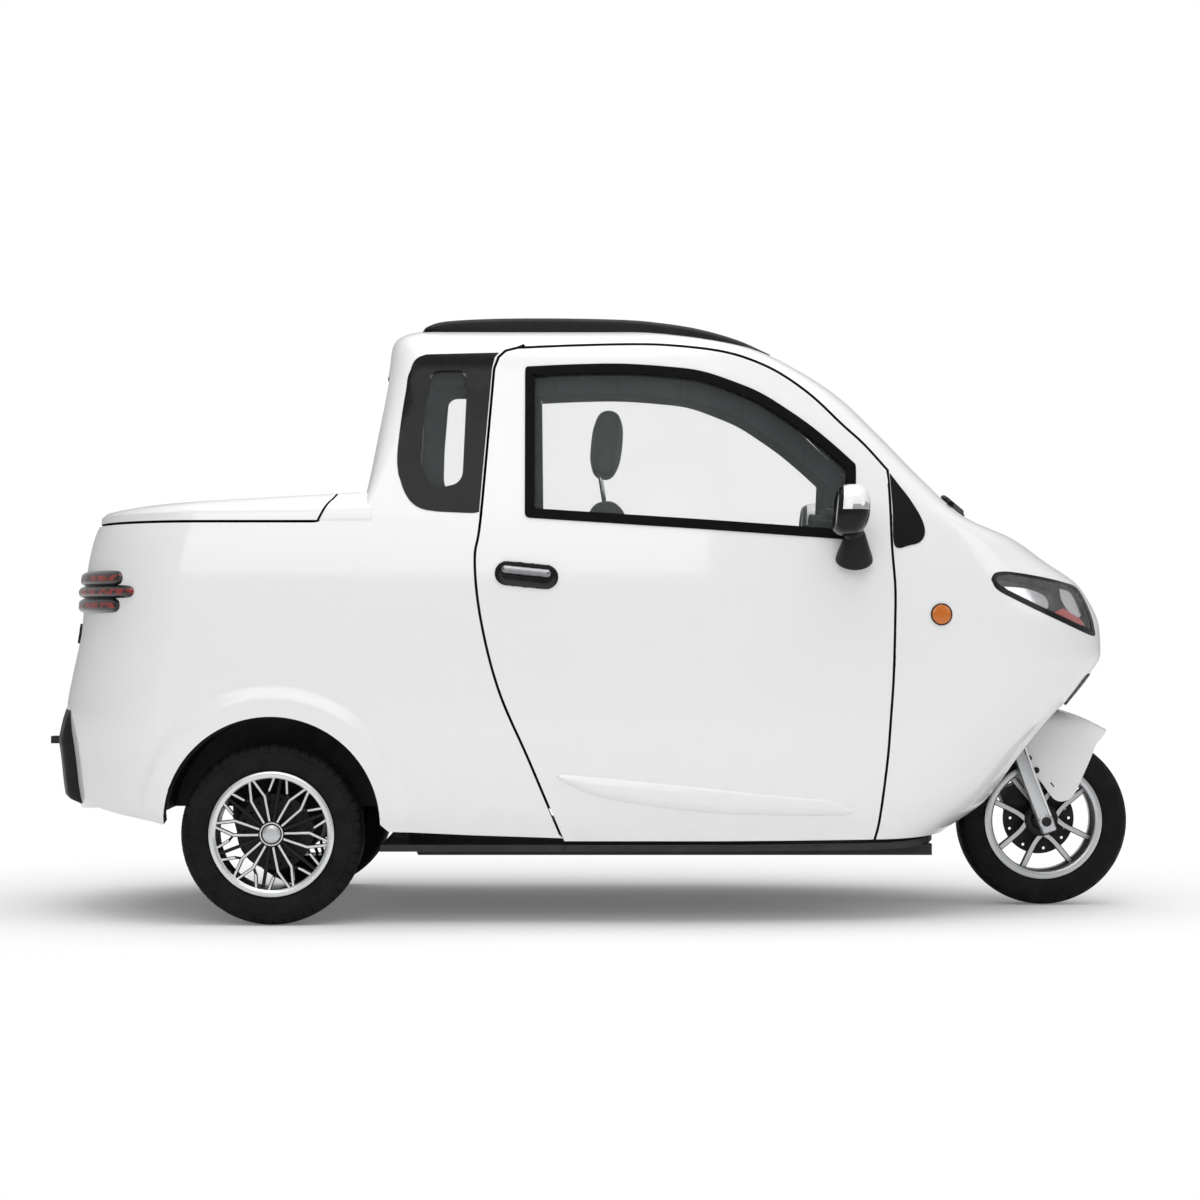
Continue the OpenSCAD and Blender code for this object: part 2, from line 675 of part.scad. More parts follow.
// Rear rails with the posts of the load floor and the tow eye
module rear_frame() {
    color("dimgray") difference() {
        union() {
            both_sides() {
                kick_rail(0);
                for (x = [-1300, -700])
                    block([x - bar_half, rail_y[0], kick_z[0]],
                        [x + bar_half, rail_y[1], load_floor_z - load_floor_t - fit]);
            }
            for (x = [rail_tail + bar_half, -660])
                block([x - bar_half, -rail_y[0] - 1, kick_z[0]], [x + bar_half, rail_y[0] + 1, kick_z[1]]);
            block([tow_foot_x, -40, kick_z[0]], [rail_tail + 10, 40, tow_z + 20]);
            tow_bar(0);
        }
        translate([tow_x + 17, 0, tow_z - 50]) cylinder(h = 100, r = tow_hole_r);
    }
}
module floor_pan() {
    color("dimgray") difference() {
        translate([0, 0, floor_z - floor_t]) linear_extrude(floor_t)
            polygon([for (p = nose_ring(LOWER[0], part_x + 12, 6)) [p.x, p.y]]);
        on_steering() cylinder(h = 2 * far, r = well_r + 2, center = true);
        arch(arch_r + 5);
        both_sides() {
            rail(1);
            kick_rail(1);
            block([post_x[0] - 1, rail_y[0] - 1, 0], [post_x[1] + 1, rail_y[1] + 1, far]);
        }
    }
}
spring_y = 270;
spring_w = 44;
spring_half = 235;
module leaf_springs() {
    low = rear_axle_z + 28 + fit;
    rise = kick_z[0] - 18 - low;
    radius = (spring_half * spring_half + rise * rise) / (2 * rise);
    span = asin(spring_half / radius);
    function arc(r, s) = [for (i = [-6:6]) [r * sin(i * s / 6), radius - r * cos(i * s / 6)]];
    color("black") both_sides() {
        through_side(spring_y - spring_w / 2, spring_y + spring_w / 2) translate([rear_axle_x, low]) {
            polygon(concat(arc(radius, span), reversed(arc(radius - 9, span))));
            polygon(concat(arc(radius - 9, span * 0.7), reversed(arc(radius - 17, span * 0.7))));
        }
        for (s = [-1, 1])
            cross_bar(rear_axle_x + s * (spring_half + 6), kick_z[0] - 18 - fit, 18, spring_y - spring_w / 2,
                spring_y + spring_w / 2);
    }
}
hub_half = 34;
hub_r = 34;
module rear_axle() {
    wheel_y = rear_track / 2;
    color("dimgray") {
        cross_bar(rear_axle_x, rear_axle_z, 28, -wheel_y + hub_half + 2, wheel_y - hub_half - 2);
        cross_bar(rear_axle_x, rear_axle_z, 92, -115, 115);
        cross_bar(rear_axle_x, rear_axle_z, 70, -170, -114);
        cross_bar(rear_axle_x, rear_axle_z, spindle_r, -wheel_y - 20, wheel_y + 20);
    }
}
battery = [[110, -230, floor_z], [540, 230, seat_z - 122]];
module battery_box() {
    color("dimgray") block(battery[0], battery[1]);
}

// Seat
module seat_base() {
    low = battery[1].z + fit;
    color("gray") through_side(-seat_w / 2, seat_w / 2) offset(r = 30) offset(delta = -30)
        polygon([[75, low], [565, low], [570, seat_z], [90, seat_z]]);
}
back_foot = [70, 0, seat_z + 1];
module on_seat_back() {
    translate(back_foot) rotate([0, -seat_lean, 0]) children();
}
back_h = 545;
module seat_back() {
    color("gray") difference() {
        on_seat_back() through_side(-seat_w / 2, seat_w / 2) offset(r = 30) offset(delta = -30)
            polygon([[0, -40], [110, -40], [95, back_h], [15, back_h]]);
        block([-far, -far, 0], [far, far, seat_z + fit]);
    }
}
module headrest() {
    color("gray") on_seat_back() {
        through_side(-125, 125) offset(r = 25) offset(delta = -25)
            polygon([[18, back_h + 45], [112, back_h + 45], [104, back_h + 250], [34, back_h + 250]]);
        for (y = [-60, 60])
            translate([58, y, back_h + fit]) cylinder(h = 80, r = 6);
    }
}
module dash() {
    color("dimgray") difference() {
        through_side(-370, 370) offset(r = 25) offset(delta = -25)
            polygon([[825, post_z + fit], [985, post_z + fit], [1010, 900], [985, 965], [850, 925]]);
        on_steering() cylinder(h = far, r = stem_r + 24);
    }
}

// Steering
leg_top = 330;
leg_foot = -45;
slide_from = 180;
leg_len = 235;
crown_t = 35;
axle_end = 10;
module fork() {
    color("silver") on_steering() {
        for (s = [-1, 1]) {
            translate([stem_offset, s * leg_y, leg_foot]) cylinder(h = leg_len, r = leg_r);
            translate([stem_offset, s * leg_y, slide_from]) cylinder(h = leg_top - slide_from, r = leg_r - 5);
        }
        block([-32, -leg_y - leg_r, leg_top - crown_t], [stem_offset + leg_r, leg_y + leg_r, leg_top]);
        translate([0, 0, leg_top - 1])
            cylinder(h = (stem_top_z - front_axle_z) / cos(rake) - leg_top + 1, r = stem_r);
        translate([stem_offset, -leg_y - leg_r - axle_end, -stem_offset * tan(rake)]) rotate([-90, 0, 0])
            cylinder(h = 2 * (leg_y + leg_r + axle_end), r = spindle_r);
    }
}
// Deep front mudguard between the fork legs, with a beak at the front and side plates down to the spokes
guard_top = [[1190, 557], [1240, 557], [1303, 549], [1380, 524], [1451, 489]];
guard_t = 4;
module front_mudguard() {
    half = leg_y - leg_r - fit;
    inside = front_tyre_w / 2 + 5;
    color("white") difference() {
        through_side(-half, half) polygon(concat(guard_top, [[1421, 454], [1400, 415], [1361, 330],
            [1347, 307],
            [1312, 291], [1287, 300], [1239, 372], [1185, 430], [1190, 470]]));
        through_side(-inside, inside) polygon(concat([for (p = guard_top) p - [0, guard_t]],
            [[1480, 470], [1480, 0], [1100, 0], [1100, 552]]));
    }
}
bar_bend = [780, 190, 1062];
stem_top_z = 950;
module handlebar() {
    yoke = [900, 0, 1012];
    color("dimgray") {
        rod(on_stem(stem_top_z) + stem_up * fit, on_stem(stem_top_z + 32), stem_r);
        rod(on_stem(stem_top_z + 26), yoke, 20);
        translate(yoke) sphere(r = 25);
        both_sides() {
            rod(yoke, bar_bend, 11);
            rod(bar_bend + [8, -4, -1.5], [640, 255, 1085], 16);
            rod([752, 204, 1068], [690, 272, 1088], 5);
        }
    }
}
front_disc_y = 45;
module front_caliper() {
    half_slot = disc_t / 2 + 5;
    color("dimgray") difference() {
        on_steering() block([stem_offset - 78, front_disc_y - 13, 35],
            [stem_offset - leg_r - fit, leg_y + 12, 105]);
        cross_bar(front_axle_x, front_axle_z, disc_d / 2 + 6,
            front_disc_y - half_slot, front_disc_y + half_slot);
    }
}

// Wheels, made about their own middle with the outer face at -Y
module tyre(d, w) {
    bead = rim_d / 2 - 4;
    half = [[bead, w / 2 - 18], [bead + 8, w / 2 - 6], [bead + 26, w / 2], [d / 2 - 24, w / 2],
        [d / 2 - 9, w / 2 - 6], [d / 2 - 1.5, w / 2 - 22], [d / 2, w / 2 - 42]];
    color("black") rotate([90, 0, 0]) rotate_extrude()
        polygon(concat(half, reversed([for (p = half) [p.x, -p.y]])));
}
module rim_barrel(w) {
    bead = rim_d / 2 - 4.5;
    half = [[bead - 13, 0], [bead - 13, w / 2 - 22], [bead - 6, w / 2 - 4], [bead + 5, w / 2 - 4],
        [bead, w / 2 - 17]];
    rotate([90, 0, 0]) rotate_extrude()
        polygon(concat(half, reversed([for (p = half) [p.x, -p.y]])));
}
module hub(r) {
    rotate([90, 0, 0]) difference() {
        cylinder(h = 2 * hub_half, r = r, center = true);
        cylinder(h = 4 * hub_half, r = spindle_r + run, center = true);
    }
}
spoke_t = 14;
spoke_y = rear_tyre_w / 2 - 8;
spoke_end = rim_d / 2 - 9;
petal_r = 98;
petal_half = 22;
petal_edge = 7;
cap_r = 33;
function left_of(d) = [-d.y, d.x] / norm(d);
// Flat bar with one bend, along three points of the wheel's face
module bent_bar(p, q, r, w) {
    a = left_of(q - p) * w / 2;
    b = left_of(r - q) * w / 2;
    m = (a + b) / (1 + a * b * 4 / (w * w));
    linear_extrude(height = spoke_t) polygon([p + a, q + m, r + b, r - b, q - m, p - a]);
}
function on_wheel(r, a) = [r * cos(a), r * sin(a)];
// One petal of the rear rim: a narrow frame, widest two thirds of the way out
module petal() {
    linear_extrude(height = spoke_t) difference() {
        polygon([[30, 10], [petal_r, petal_half], [spoke_end, 9], [spoke_end, -9], [petal_r, -petal_half],
            [30, -10]]);
        polygon([[38, 4], [petal_r, petal_half - petal_edge], [142, 3], [142, -3],
            [petal_r, petal_edge - petal_half], [38, -4]]);
    }
}
module rear_rim_shape() {
    rim_barrel(rear_tyre_w);
    hub(hub_r);
    translate([0, -spoke_y, 0]) rotate([-90, 0, 0]) for (i = [0:5]) rotate(60 * i + 9) {
        petal();
        for (s = [-1, 1])
            bent_bar(on_wheel(spoke_end - 1, s * 23.6), on_wheel(112, s * 17.7),
                [petal_r, s * (petal_half - 4)], 6);
        rotate(30) translate([26, -5, 6]) cube([spoke_end - 26, 10, spoke_t - 6]);
    }
    rotate([90, 0, 0]) translate([0, 0, hub_half - 2])
        cylinder(h = rear_tyre_w / 2 - 4 - hub_half, r = cap_r);
}
// Four forked spokes in the middle of the front rim
module front_rim_shape() {
    rim_barrel(front_tyre_w);
    hub(hub_r);
    rotate([90, 0, 0]) translate([0, 0, -10]) for (i = [0:3]) rotate(90 * i + 7) {
        translate([28, -12, 0]) cube([30, 24, 20]);
        for (s = [-1, 1])
            translate([44, 0, 1]) rotate(39 * s) translate([0, -8, 0]) cube([spoke_end - 37, 16, 18]);
    }
}
disc_t = 5;
bell_h = 28;
module brake_disc_shape() {
    rotate([90, 0, 0]) difference() {
        union() {
            cylinder(h = disc_t, r = disc_d / 2, center = true);
            cylinder(h = bell_h, r = hub_r + 8);
        }
        cylinder(h = 4 * bell_h, r = hub_r + fit, center = true);
        for (i = [0:17]) rotate(20 * i) translate([disc_d / 2 - 14 - 7 * (i % 2), 0, 0])
            cylinder(h = 20, r = 4, center = true);
    }
}
module at_rear_wheel(side) {
    translate([rear_axle_x, side * rear_track / 2, rear_axle_z]) rotate(side > 0 ? 180 : 0) children();
}
module at_front_wheel() {
    translate([front_axle_x, 0, front_axle_z]) children();
}
module front_tyre() {
    at_front_wheel() tyre(front_tyre_d, front_tyre_w);
}
module front_rim() {
    color("silver") at_front_wheel() front_rim_shape();
}
module front_disc() {
    color("lightgray") at_front_wheel() translate([0, front_disc_y, 0]) brake_disc_shape();
}
module rear_tyre(side) {
    at_rear_wheel(side) tyre(rear_tyre_d, rear_tyre_w);
}
module rear_rim(side) {
    color("black") at_rear_wheel(side) rear_rim_shape();
}
module rear_disc(side) {
    color("lightgray") at_rear_wheel(side) translate([0, 30, 0]) brake_disc_shape();
}

frame();
head_frame();
rear_frame();
floor_pan();
front_body();
cab_shell();
rear_body();
quarter_bands();
deck_strip();
partition();
load_floor();
front_well();
rear_arch_liners();
windscreen();
rear_window();
quarter_frames();
quarter_panes();
sail_panels();
headlamps();
tail_lamps();
marker_lamps();
roof_rails();
rear_bumper();
door_hinges();
lid_hinges();
leaf_springs();
rear_axle();
battery_box();
seat_base();
seat_back();
headrest();
dash();
fork();
front_mudguard();
handlebar();
front_caliper();
front_tyre();
front_rim();
front_disc();
rear_tyre(1);  // rear_tyre_left
rear_rim(1);  // rear_rim_left
rear_disc(1);  // rear_disc_left
rear_tyre(-1);  // rear_tyre_right
rear_rim(-1);  // rear_rim_right
rear_disc(-1);  // rear_disc_right
door_panel(1);  // door_panel_left
door_seal(1);  // door_seal_left
door_glass(1);  // door_glass_left
door_handle(1);  // door_handle_left
door_mirror(1);  // door_mirror_left
door_panel(-1);  // door_panel_right
door_seal(-1);  // door_seal_right
door_glass(-1);  // door_glass_right
door_handle(-1);  // door_handle_right
door_mirror(-1);  // door_mirror_right
lid();
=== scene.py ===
import contextlib
import math
import bpy
import numpy as np
from mathutils import Matrix, Vector
from mathutils.geometry import delaunay_2d_cdt


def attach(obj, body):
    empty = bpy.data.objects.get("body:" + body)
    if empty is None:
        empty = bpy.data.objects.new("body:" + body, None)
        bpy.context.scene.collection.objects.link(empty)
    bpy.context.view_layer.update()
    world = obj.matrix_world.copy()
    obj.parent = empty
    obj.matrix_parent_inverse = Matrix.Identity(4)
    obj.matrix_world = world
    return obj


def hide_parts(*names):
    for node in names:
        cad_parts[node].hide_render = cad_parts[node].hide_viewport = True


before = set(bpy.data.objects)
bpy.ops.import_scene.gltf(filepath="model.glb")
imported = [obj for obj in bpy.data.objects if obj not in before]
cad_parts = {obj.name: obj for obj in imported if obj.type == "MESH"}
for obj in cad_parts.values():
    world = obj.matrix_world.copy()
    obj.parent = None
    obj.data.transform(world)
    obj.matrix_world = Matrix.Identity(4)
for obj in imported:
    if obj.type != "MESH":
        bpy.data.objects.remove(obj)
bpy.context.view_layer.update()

# Studio: a white sweep under soft overhead light, with the camera level and square to the right side.
# The floor keeps a soft contact shadow and fades to white away from the vehicle.
scene = bpy.context.scene
scene.view_settings.view_transform = "Standard"


class Flow:
    """One value in a shader, with the arithmetic that is done on it."""

    def __init__(self, socket):
        self.socket = socket
        self.tree = socket.id_data

    def node(self, kind, settings, sockets, out=0):
        n = self.tree.nodes.new(kind)
        for key, value in settings.items():
            setattr(n, key, value)
        for key, value in sockets.items():
            put(n.inputs[key], value)
        return Flow(n.outputs[out])

    def sum(self, operation, a, b):
        return self.node("ShaderNodeMath", {"operation": operation}, {0: a, 1: b})

    def __add__(self, b): return self.sum("ADD", self, b)
    def __radd__(self, b): return self.sum("ADD", b, self)
    def __sub__(self, b): return self.sum("SUBTRACT", self, b)
    def __mul__(self, b): return self.sum("MULTIPLY", self, b)
    def __rmul__(self, b): return self.sum("MULTIPLY", b, self)


def put(socket, value):
    if isinstance(value, Flow):
        socket.id_data.links.new(value.socket, socket)
    elif isinstance(value, tuple) and len(value) == 3 and len(socket.default_value) == 4:
        socket.default_value = (*value, 1)
    else:
        socket.default_value = value


def finish(name, **fixed):
    """New material: the shader with its fixed sockets, and the object coordinates as a Flow"""
    material = bpy.data.materials.new(name)
    material.use_nodes = True
    shader = material.node_tree.nodes["Principled BSDF"]
    for key, value in fixed.items():
        put(shader.inputs[key.replace("_", " ")], value)
    where = Flow(material.node_tree.nodes.new("ShaderNodeTexCoord").outputs["Object"])
    return material, shader.inputs, where


def blend(where, factor, low, high):
    return where.node("ShaderNodeMix", {"data_type": "RGBA"}, {0: factor, 6: low, 7: high}, 2)


def noise(where, scale, detail=3.0, rough=0.5):
    return where.node("ShaderNodeTexNoise", {}, {"Vector": where, "Scale": scale, "Detail": detail,
        "Roughness": rough})


def spread(value, low, high, to_low, to_high):
    return value.node("ShaderNodeMapRange", {}, {0: value, 1: low, 2: high, 3: to_low, 4: to_high})


def bump(shader, height, strength, distance):
    put(shader["Normal"], height.node("ShaderNodeBump", {}, {"Height": height, "Strength": strength,
        "Distance": distance}))


bpy.ops.mesh.primitive_plane_add(size=60, location=(0, 0, 0))
floor = bpy.context.object
floor.name = "floor"
floor_paint, floor_shader, floor_at = finish("floor_sweep", Roughness=0.9)
put(floor_shader["Base Color"], (0.93, 0.93, 0.93))
floor_tree = floor_paint.node_tree
rays = floor_tree.nodes.new("ShaderNodeLightPath")
seen = Flow(rays.outputs["Is Camera Ray"]).sum("MAXIMUM", Flow(rays.outputs["Is Camera Ray"]),
    Flow(rays.outputs["Is Transmission Ray"]))
reach = floor_at.node("ShaderNodeVectorMath", {"operation": "LENGTH"}, {0: floor_at.node(
    "ShaderNodeVectorMath", {"operation": "MULTIPLY"}, {0: floor_at, 1: (0.62, 1.0, 0.0)})}, 1)
glow = floor_at.node("ShaderNodeEmission", {}, {"Color": (1, 1, 1), "Strength": 1.0})
fade = floor_at.node("ShaderNodeMixShader", {}, {0: spread(reach, 0.75, 1.7, 0.12, 1.0) * seen,
    1: Flow(floor_tree.nodes["Principled BSDF"].outputs[0]), 2: glow})
put(floor_tree.nodes["Material Output"].inputs["Surface"], fade)
floor.data.materials.append(floor_paint)

world = bpy.data.worlds.new("studio")
scene.world = world
world.use_nodes = True
sky = world.node_tree
sky_rays = sky.nodes.new("ShaderNodeLightPath")
sky_seen = Flow(sky_rays.outputs["Is Camera Ray"])
sky_seen = sky_seen.sum("MAXIMUM", sky_seen, Flow(sky_rays.outputs["Is Transmission Ray"]))
sky_at = Flow(sky.nodes.new("ShaderNodeTexCoord").outputs["Generated"])
sky_up = sky_at.node("ShaderNodeSeparateXYZ", {}, {0: sky_at}, 2)
put(sky.nodes["Background"].inputs["Strength"], sky_seen.sum("MAXIMUM", sky_seen,
    spread(sky_up, -0.1, 0.9, 0.34, 0.62)))
put(sky.nodes["Background"].inputs["Color"], (1, 1, 1))

for lamp_name, lamp_at, lamp_aim, lamp_size, lamp_power in (
        ("softbox_top", (0.2, -0.6, 5.2), (0, 0, 0.5), 5.0, 170),
        ("softbox_near", (-1.0, -6.5, 3.6), (0, 0, 0.7), 4.0, 75),
        ("softbox_nose", (6.0, -2.0, 3.0), (0.8, 0, 0.7), 3.0, 30)):
    lamp = bpy.data.lights.new(lamp_name, "AREA")
    lamp.size = lamp_size
    lamp.energy = lamp_power
    stand = bpy.data.objects.new(lamp_name, lamp)
    scene.collection.objects.link(stand)
    stand.location = lamp_at
    stand.rotation_euler = (Vector(lamp_aim) - Vector(lamp_at)).to_track_quat("-Z", "Y").to_euler()

camera = bpy.data.objects.new("camera", bpy.data.cameras.new("camera"))
scene.collection.objects.link(camera)
camera.location = (0.032, -8.0, 0.812)
camera.rotation_euler = (math.pi / 2, 0, 0)
camera.data.lens = 85.5
camera.data.sensor_width = 36
camera.data.shift_y = 14 / 1200
scene.camera = camera

# Body surface: every outer panel is moulded to one surface, given by a plan outline at each height.
# The shell is white gloss plastic on a tube frame; nose, cab and load box join without a visible seam.
HALF_WIDTH = 0.6
MID = -0.17
BELT = 1.07
GAP = 0.007
# length of the flat sheet for each step along, and the nose's or tail's middle on it
STRETCH = 0.8
CENTRE = 2 * STRETCH
# height, tail, nose, pinch off the half width, nose corner length, its squareness
ROW_UNITS = np.array([0.001] * 5 + [1])
LOW_ROWS = np.array([
    [218, -1322, 985, 50, 240, 2.3], [300, -1422, 1110, 27, 320, 2.3], [423, -1438, 1220, 11, 360, 2.3],
    [540, -1451, 1312, 1, 370, 2.3], [641, -1435, 1394, 0, 380, 2.3], [700, -1422, 1429, 0, 380, 2.3],
    [767, -1409, 1426, 0, 370, 2.3], [885, -1400, 1370, 1, 350, 2.3], [958, -1389, 1266, 5, 290, 2.4],
    [1020, -1374, 1170, 12, 230, 2.6], [1070, -1352, 1038, 20, 135, 3]]) * ROW_UNITS
HIGH_ROWS = np.array([
    [1070, -605, 1038, 20, 135, 3], [1166, -591, 925, 45, 130, 3], [1300, -572, 793, 83, 130, 3],
    [1400, -558, 687, 112, 130, 3], [1492, -544, 540, 138, 130, 3], [1525, -541, 464, 155, 130, 3],
    [1550, -533, 348, 186, 130, 3], [1570, -505, 220, 248, 130, 3], [1585, -430, 110, 345, 130, 3],
    [1595, -300, -20, 480, 130, 3], [1598, -290, -30, 600, 130, 3]]) * ROW_UNITS


def pchip(knots, values, at):
    """Smooth curve through the values that never overshoots them"""
    h = np.diff(knots)
    d = np.diff(values) / h
    level = np.where(d[1:] * d[:-1] > 0, 2 * d[1:] * d[:-1] / (d[1:] + d[:-1] + 1e-12), 0)
    m = np.concatenate([[d[0]], level, [d[-1]]])
    k = np.clip(np.searchsorted(knots, at) - 1, 0, len(h) - 1)
    t = (at - knots[k]) / h[k]
    return (values[k] * (2 * t**3 - 3 * t**2 + 1) + values[k + 1] * (3 * t**2 - 2 * t**3)
            + h[k] * (m[k] * (t**3 - 2 * t**2 + t) + m[k + 1] * (t**3 - t**2)))


class Skin:
    """One half of the body surface from the middle of the side to its nose or tail, in (along, up) steps"""

    def __init__(self, rows, end, bend, power):
        self.columns = [rows[:, 0], rows[:, end], rows[:, 3], bend + 0 * rows[:, 0], power + 0 * rows[:, 0]]
        self.knots = np.concatenate([[0], np.cumsum(np.hypot(np.diff(rows[:, 0]), np.diff(rows[:, 3])))])
        self.way = 1 if end == 2 else -1
        self.fine = np.linspace(0, self.knots[-1], 2000)
        self.fine_z = pchip(self.knots, self.columns[0], self.fine)

    def row(self, up):
        return [pchip(self.knots, c, up) for c in self.columns]

    def point(self, flat):
        along, up = flat[:, 0] / STRETCH, flat[:, 1]
        z, end, pinch, bend, power = self.row(up)
        corner = end - self.way * bend
        a = np.clip(along - 1, 0, 1) * math.pi / 2
        x = MID + (corner - MID) * np.minimum(along, 1) + self.way * bend * np.sin(a) ** (2 / power)
        y = (HALF_WIDTH - pinch) * taper(x) * np.maximum(np.cos(a), 0) ** (2 / power)
        y[along > 1.9999] = 0
        return np.stack([x, y, z], 1)

    def flat(self, xz):
        up = np.interp(xz[:, 1], self.fine_z, self.fine)
        z, end, pinch, bend, power = self.row(up)
        corner = end - self.way * bend
        q = np.clip(self.way * (xz[:, 0] - corner) / bend, 0, 1)
        along = np.where(q > 0, 1 + np.arcsin(q ** (power / 2)) / (math.pi / 2),
            (xz[:, 0] - MID) / (corner - MID))
        return np.stack([along * STRETCH, up], 1)

    def flat_front(self, yz):
        up = np.interp(yz[:, 1], self.fine_z, self.fine)
        low, high = np.full(len(up), 0.3), np.full(len(up), 2.0)
        for _ in range(40):
            middle = (low + high) / 2
            wide = self.point(np.stack([middle * STRETCH, up], 1))[:, 1] > yz[:, 0]
            low, high = np.where(wide, middle, low), np.where(wide, high, middle)
        return np.stack([np.where(yz[:, 0] < 1e-5, 2.0, low) * STRETCH, up], 1)


def taper(x):
    return 1 - 0.45 * (np.maximum(0, x - 0.3) / 1.13) ** 1.6 - 0.07 * (np.maximum(0, -0.9 - x) / 0.57) ** 2


ALL_ROWS = np.concatenate([LOW_ROWS, HIGH_ROWS[1:]])
front_skin = Skin(ALL_ROWS, 2, ALL_ROWS[:, 4], ALL_ROWS[:, 5])
cab_back_skin = Skin(HIGH_ROWS, 1, np.array([0.02, 0.055, 0.09] + [0.11] * 8), 3.0)
tail_skin = Skin(LOW_ROWS, 1, 0.34, 1.9)


def side_point(xz):
    """Point of the side surface at a place in the side view"""
    return np.where((xz[:, 0] > MID)[:, None], front_skin.point(front_skin.flat(xz)), np.where(
        (xz[:, 1] > BELT)[:, None], cab_back_skin.point(cab_back_skin.flat(xz)),
        tail_skin.point(tail_skin.flat(xz))))


def mm(*points):
    return np.array(points, float) / 1000


def dense(loop, step, closed=True):
    """The same line with points no further apart than step"""
    ends = np.roll(loop, -1, 0) if closed else loop[1:]
    out = []
    for p, q in zip(loop, ends):
        n = max(1, math.ceil(np.hypot(*(q - p)) / step))
        out += [p + (q - p) * i / n for i in range(n)]
    return np.array(out if closed else out + [loop[-1]])


def soften(loop, size, rounds=3):
    """Rounds the corners of a closed outline"""
    loop = dense(loop, size)
    for _ in range(rounds):
        after = np.roll(loop, -1, 0)
        loop = np.stack([loop * 0.75 + after * 0.25, loop * 0.25 + after * 0.75], 1).reshape(-1, 2)
    return loop


def curve(points, steps=8):
    """Smooth open line through the points"""
    p = np.concatenate([[2 * points[0] - points[1]], points, [2 * points[-1] - points[-2]]])
    t = np.arange(steps)[:, None] / steps
    out = [0.5 * (2 * b + (c - a) * t + (2 * a - 5 * b + 4 * c - d) * t**2 + (3 * b - a - 3 * c + d) * t**3)
           for a, b, c, d in zip(p, p[1:], p[2:], p[3:])]
    return np.concatenate(out + [points[-1:]])


def grow(loop, by):
    """Outline moved outwards by a distance"""
    keep = np.hypot(*(loop - np.roll(loop, 1, 0)).T) > 1e-6
    loop = loop[keep]
    edge = np.roll(loop, -1, 0) - loop
    n = np.stack([edge[:, 1], -edge[:, 0]], 1) / np.hypot(*edge.T)[:, None]
    n *= np.sign(np.sum(loop[:, 0] * np.roll(loop[:, 1], -1) - loop[:, 1] * np.roll(loop[:, 0], -1)))
    m = n + np.roll(n, 1, 0)
    return loop + by * m / np.maximum(0.5, 1 + np.sum(n * np.roll(n, 1, 0), 1))[:, None]


def inside(points, loop):
    x, y = points[:, :1], points[:, 1:]
    x0, y0 = loop.T
    x1, y1 = np.roll(loop, -1, 0).T
    cross = ((y0 > y) != (y1 > y)) & (x < (x1 - x0) * (y - y0) / np.where(y1 == y0, 1e-12, y1 - y0) + x0)
    return cross.sum(1) % 2 == 1


def from_edge(points, loops):
    """Distance of each point from the nearest outline"""
    best = np.full(len(points), 9.0)
    for loop in loops:
        for p, q in zip(loop, np.roll(loop, -1, 0)):
            d = q - p
            t = np.clip((points - p) @ d / max(d @ d, 1e-12), 0, 1)
            best = np.minimum(best, np.hypot(*(points - p - t[:, None] * d).T))
    return best


def new_piece(name, points, faces, edges=()):
    mesh = bpy.data.meshes.new(name)
    mesh.from_pydata([tuple(p) for p in points], edges, faces)
    piece = bpy.data.objects.new(name, mesh)
    scene.collection.objects.link(piece)
    return piece


def choose(piece):
    bpy.ops.object.select_all(action="DESELECT")
    piece.select_set(True)
    bpy.context.view_layer.objects.active = piece


@contextlib.contextmanager
def editing(piece):
    """Edit mode with the whole mesh selected"""
    choose(piece)
    bpy.ops.object.mode_set(mode="EDIT")
    bpy.ops.mesh.select_all(action="SELECT")
    yield
    bpy.ops.object.mode_set(mode="OBJECT")


def apply(piece, kind, **settings):
    choose(piece)
    modifier = piece.modifiers.new(kind, kind)
    for key, value in settings.items():
        setattr(modifier, key, value)
    bpy.ops.object.modifier_apply(modifier=modifier.name)


def panel(name, place, outer, holes=(), step=0.02, about=(MID, 0, 0.8)):
    """Sheet with the given outline and holes, meshed flat and then laid on a surface"""
    loops = [dense(loop, step) for loop in (outer, *holes)]
    low, high = loops[0].min(0), loops[0].max(0)
    gx, gy = np.meshgrid(np.arange(low[0], high[0], step), np.arange(low[1], high[1], step * 0.87))
    gx[::2] += step / 2
    grid = np.stack([gx.ravel(), gy.ravel()], 1)
    grid = grid[inside(grid, loops[0])]
    for hole in loops[1:]:
        grid = grid[~inside(grid, hole)]
    grid = grid[from_edge(grid, loops) > step * 0.45]
    edges, first = [], 0
    for loop in loops:
        edges += [(first + i, first + (i + 1) % len(loop)) for i in range(len(loop))]
        first += len(loop)
    verts, _, faces, *_ = delaunay_2d_cdt([Vector(p) for p in np.concatenate(loops + [grid])], edges, [], 0,
        1e-7, False)
    flat = np.array([tuple(v) for v in verts])
    faces = np.array([tuple(f) for f in faces])
    middle = flat[faces].mean(1)
    keep = inside(middle, loops[0])
    for hole in loops[1:]:
        keep &= ~inside(middle, hole)
    faces = faces[keep]
    points = place(flat)
    a, b, c = points[faces[:, 0]], points[faces[:, 1]], points[faces[:, 2]]
    facing = np.cross(b - a, c - a)
    if np.sum(facing * ((a + b + c) / 3 - np.array(about))) < 0:
        faces = faces[:, ::-1]
    piece = new_piece(name, points, faces.tolist())
    with editing(piece):
        bpy.ops.mesh.delete_loose()
    return piece


def thicken(piece, thickness, *coats, rim=0):
    """Gives a sheet its thickness inwards, with the second coat on its back and, where asked, its edges"""
    for coat in coats:
        piece.data.materials.append(coat)
    apply(piece, "SOLIDIFY", thickness=thickness, offset=-1, material_offset=len(coats) - 1,
        material_offset_rim=rim)


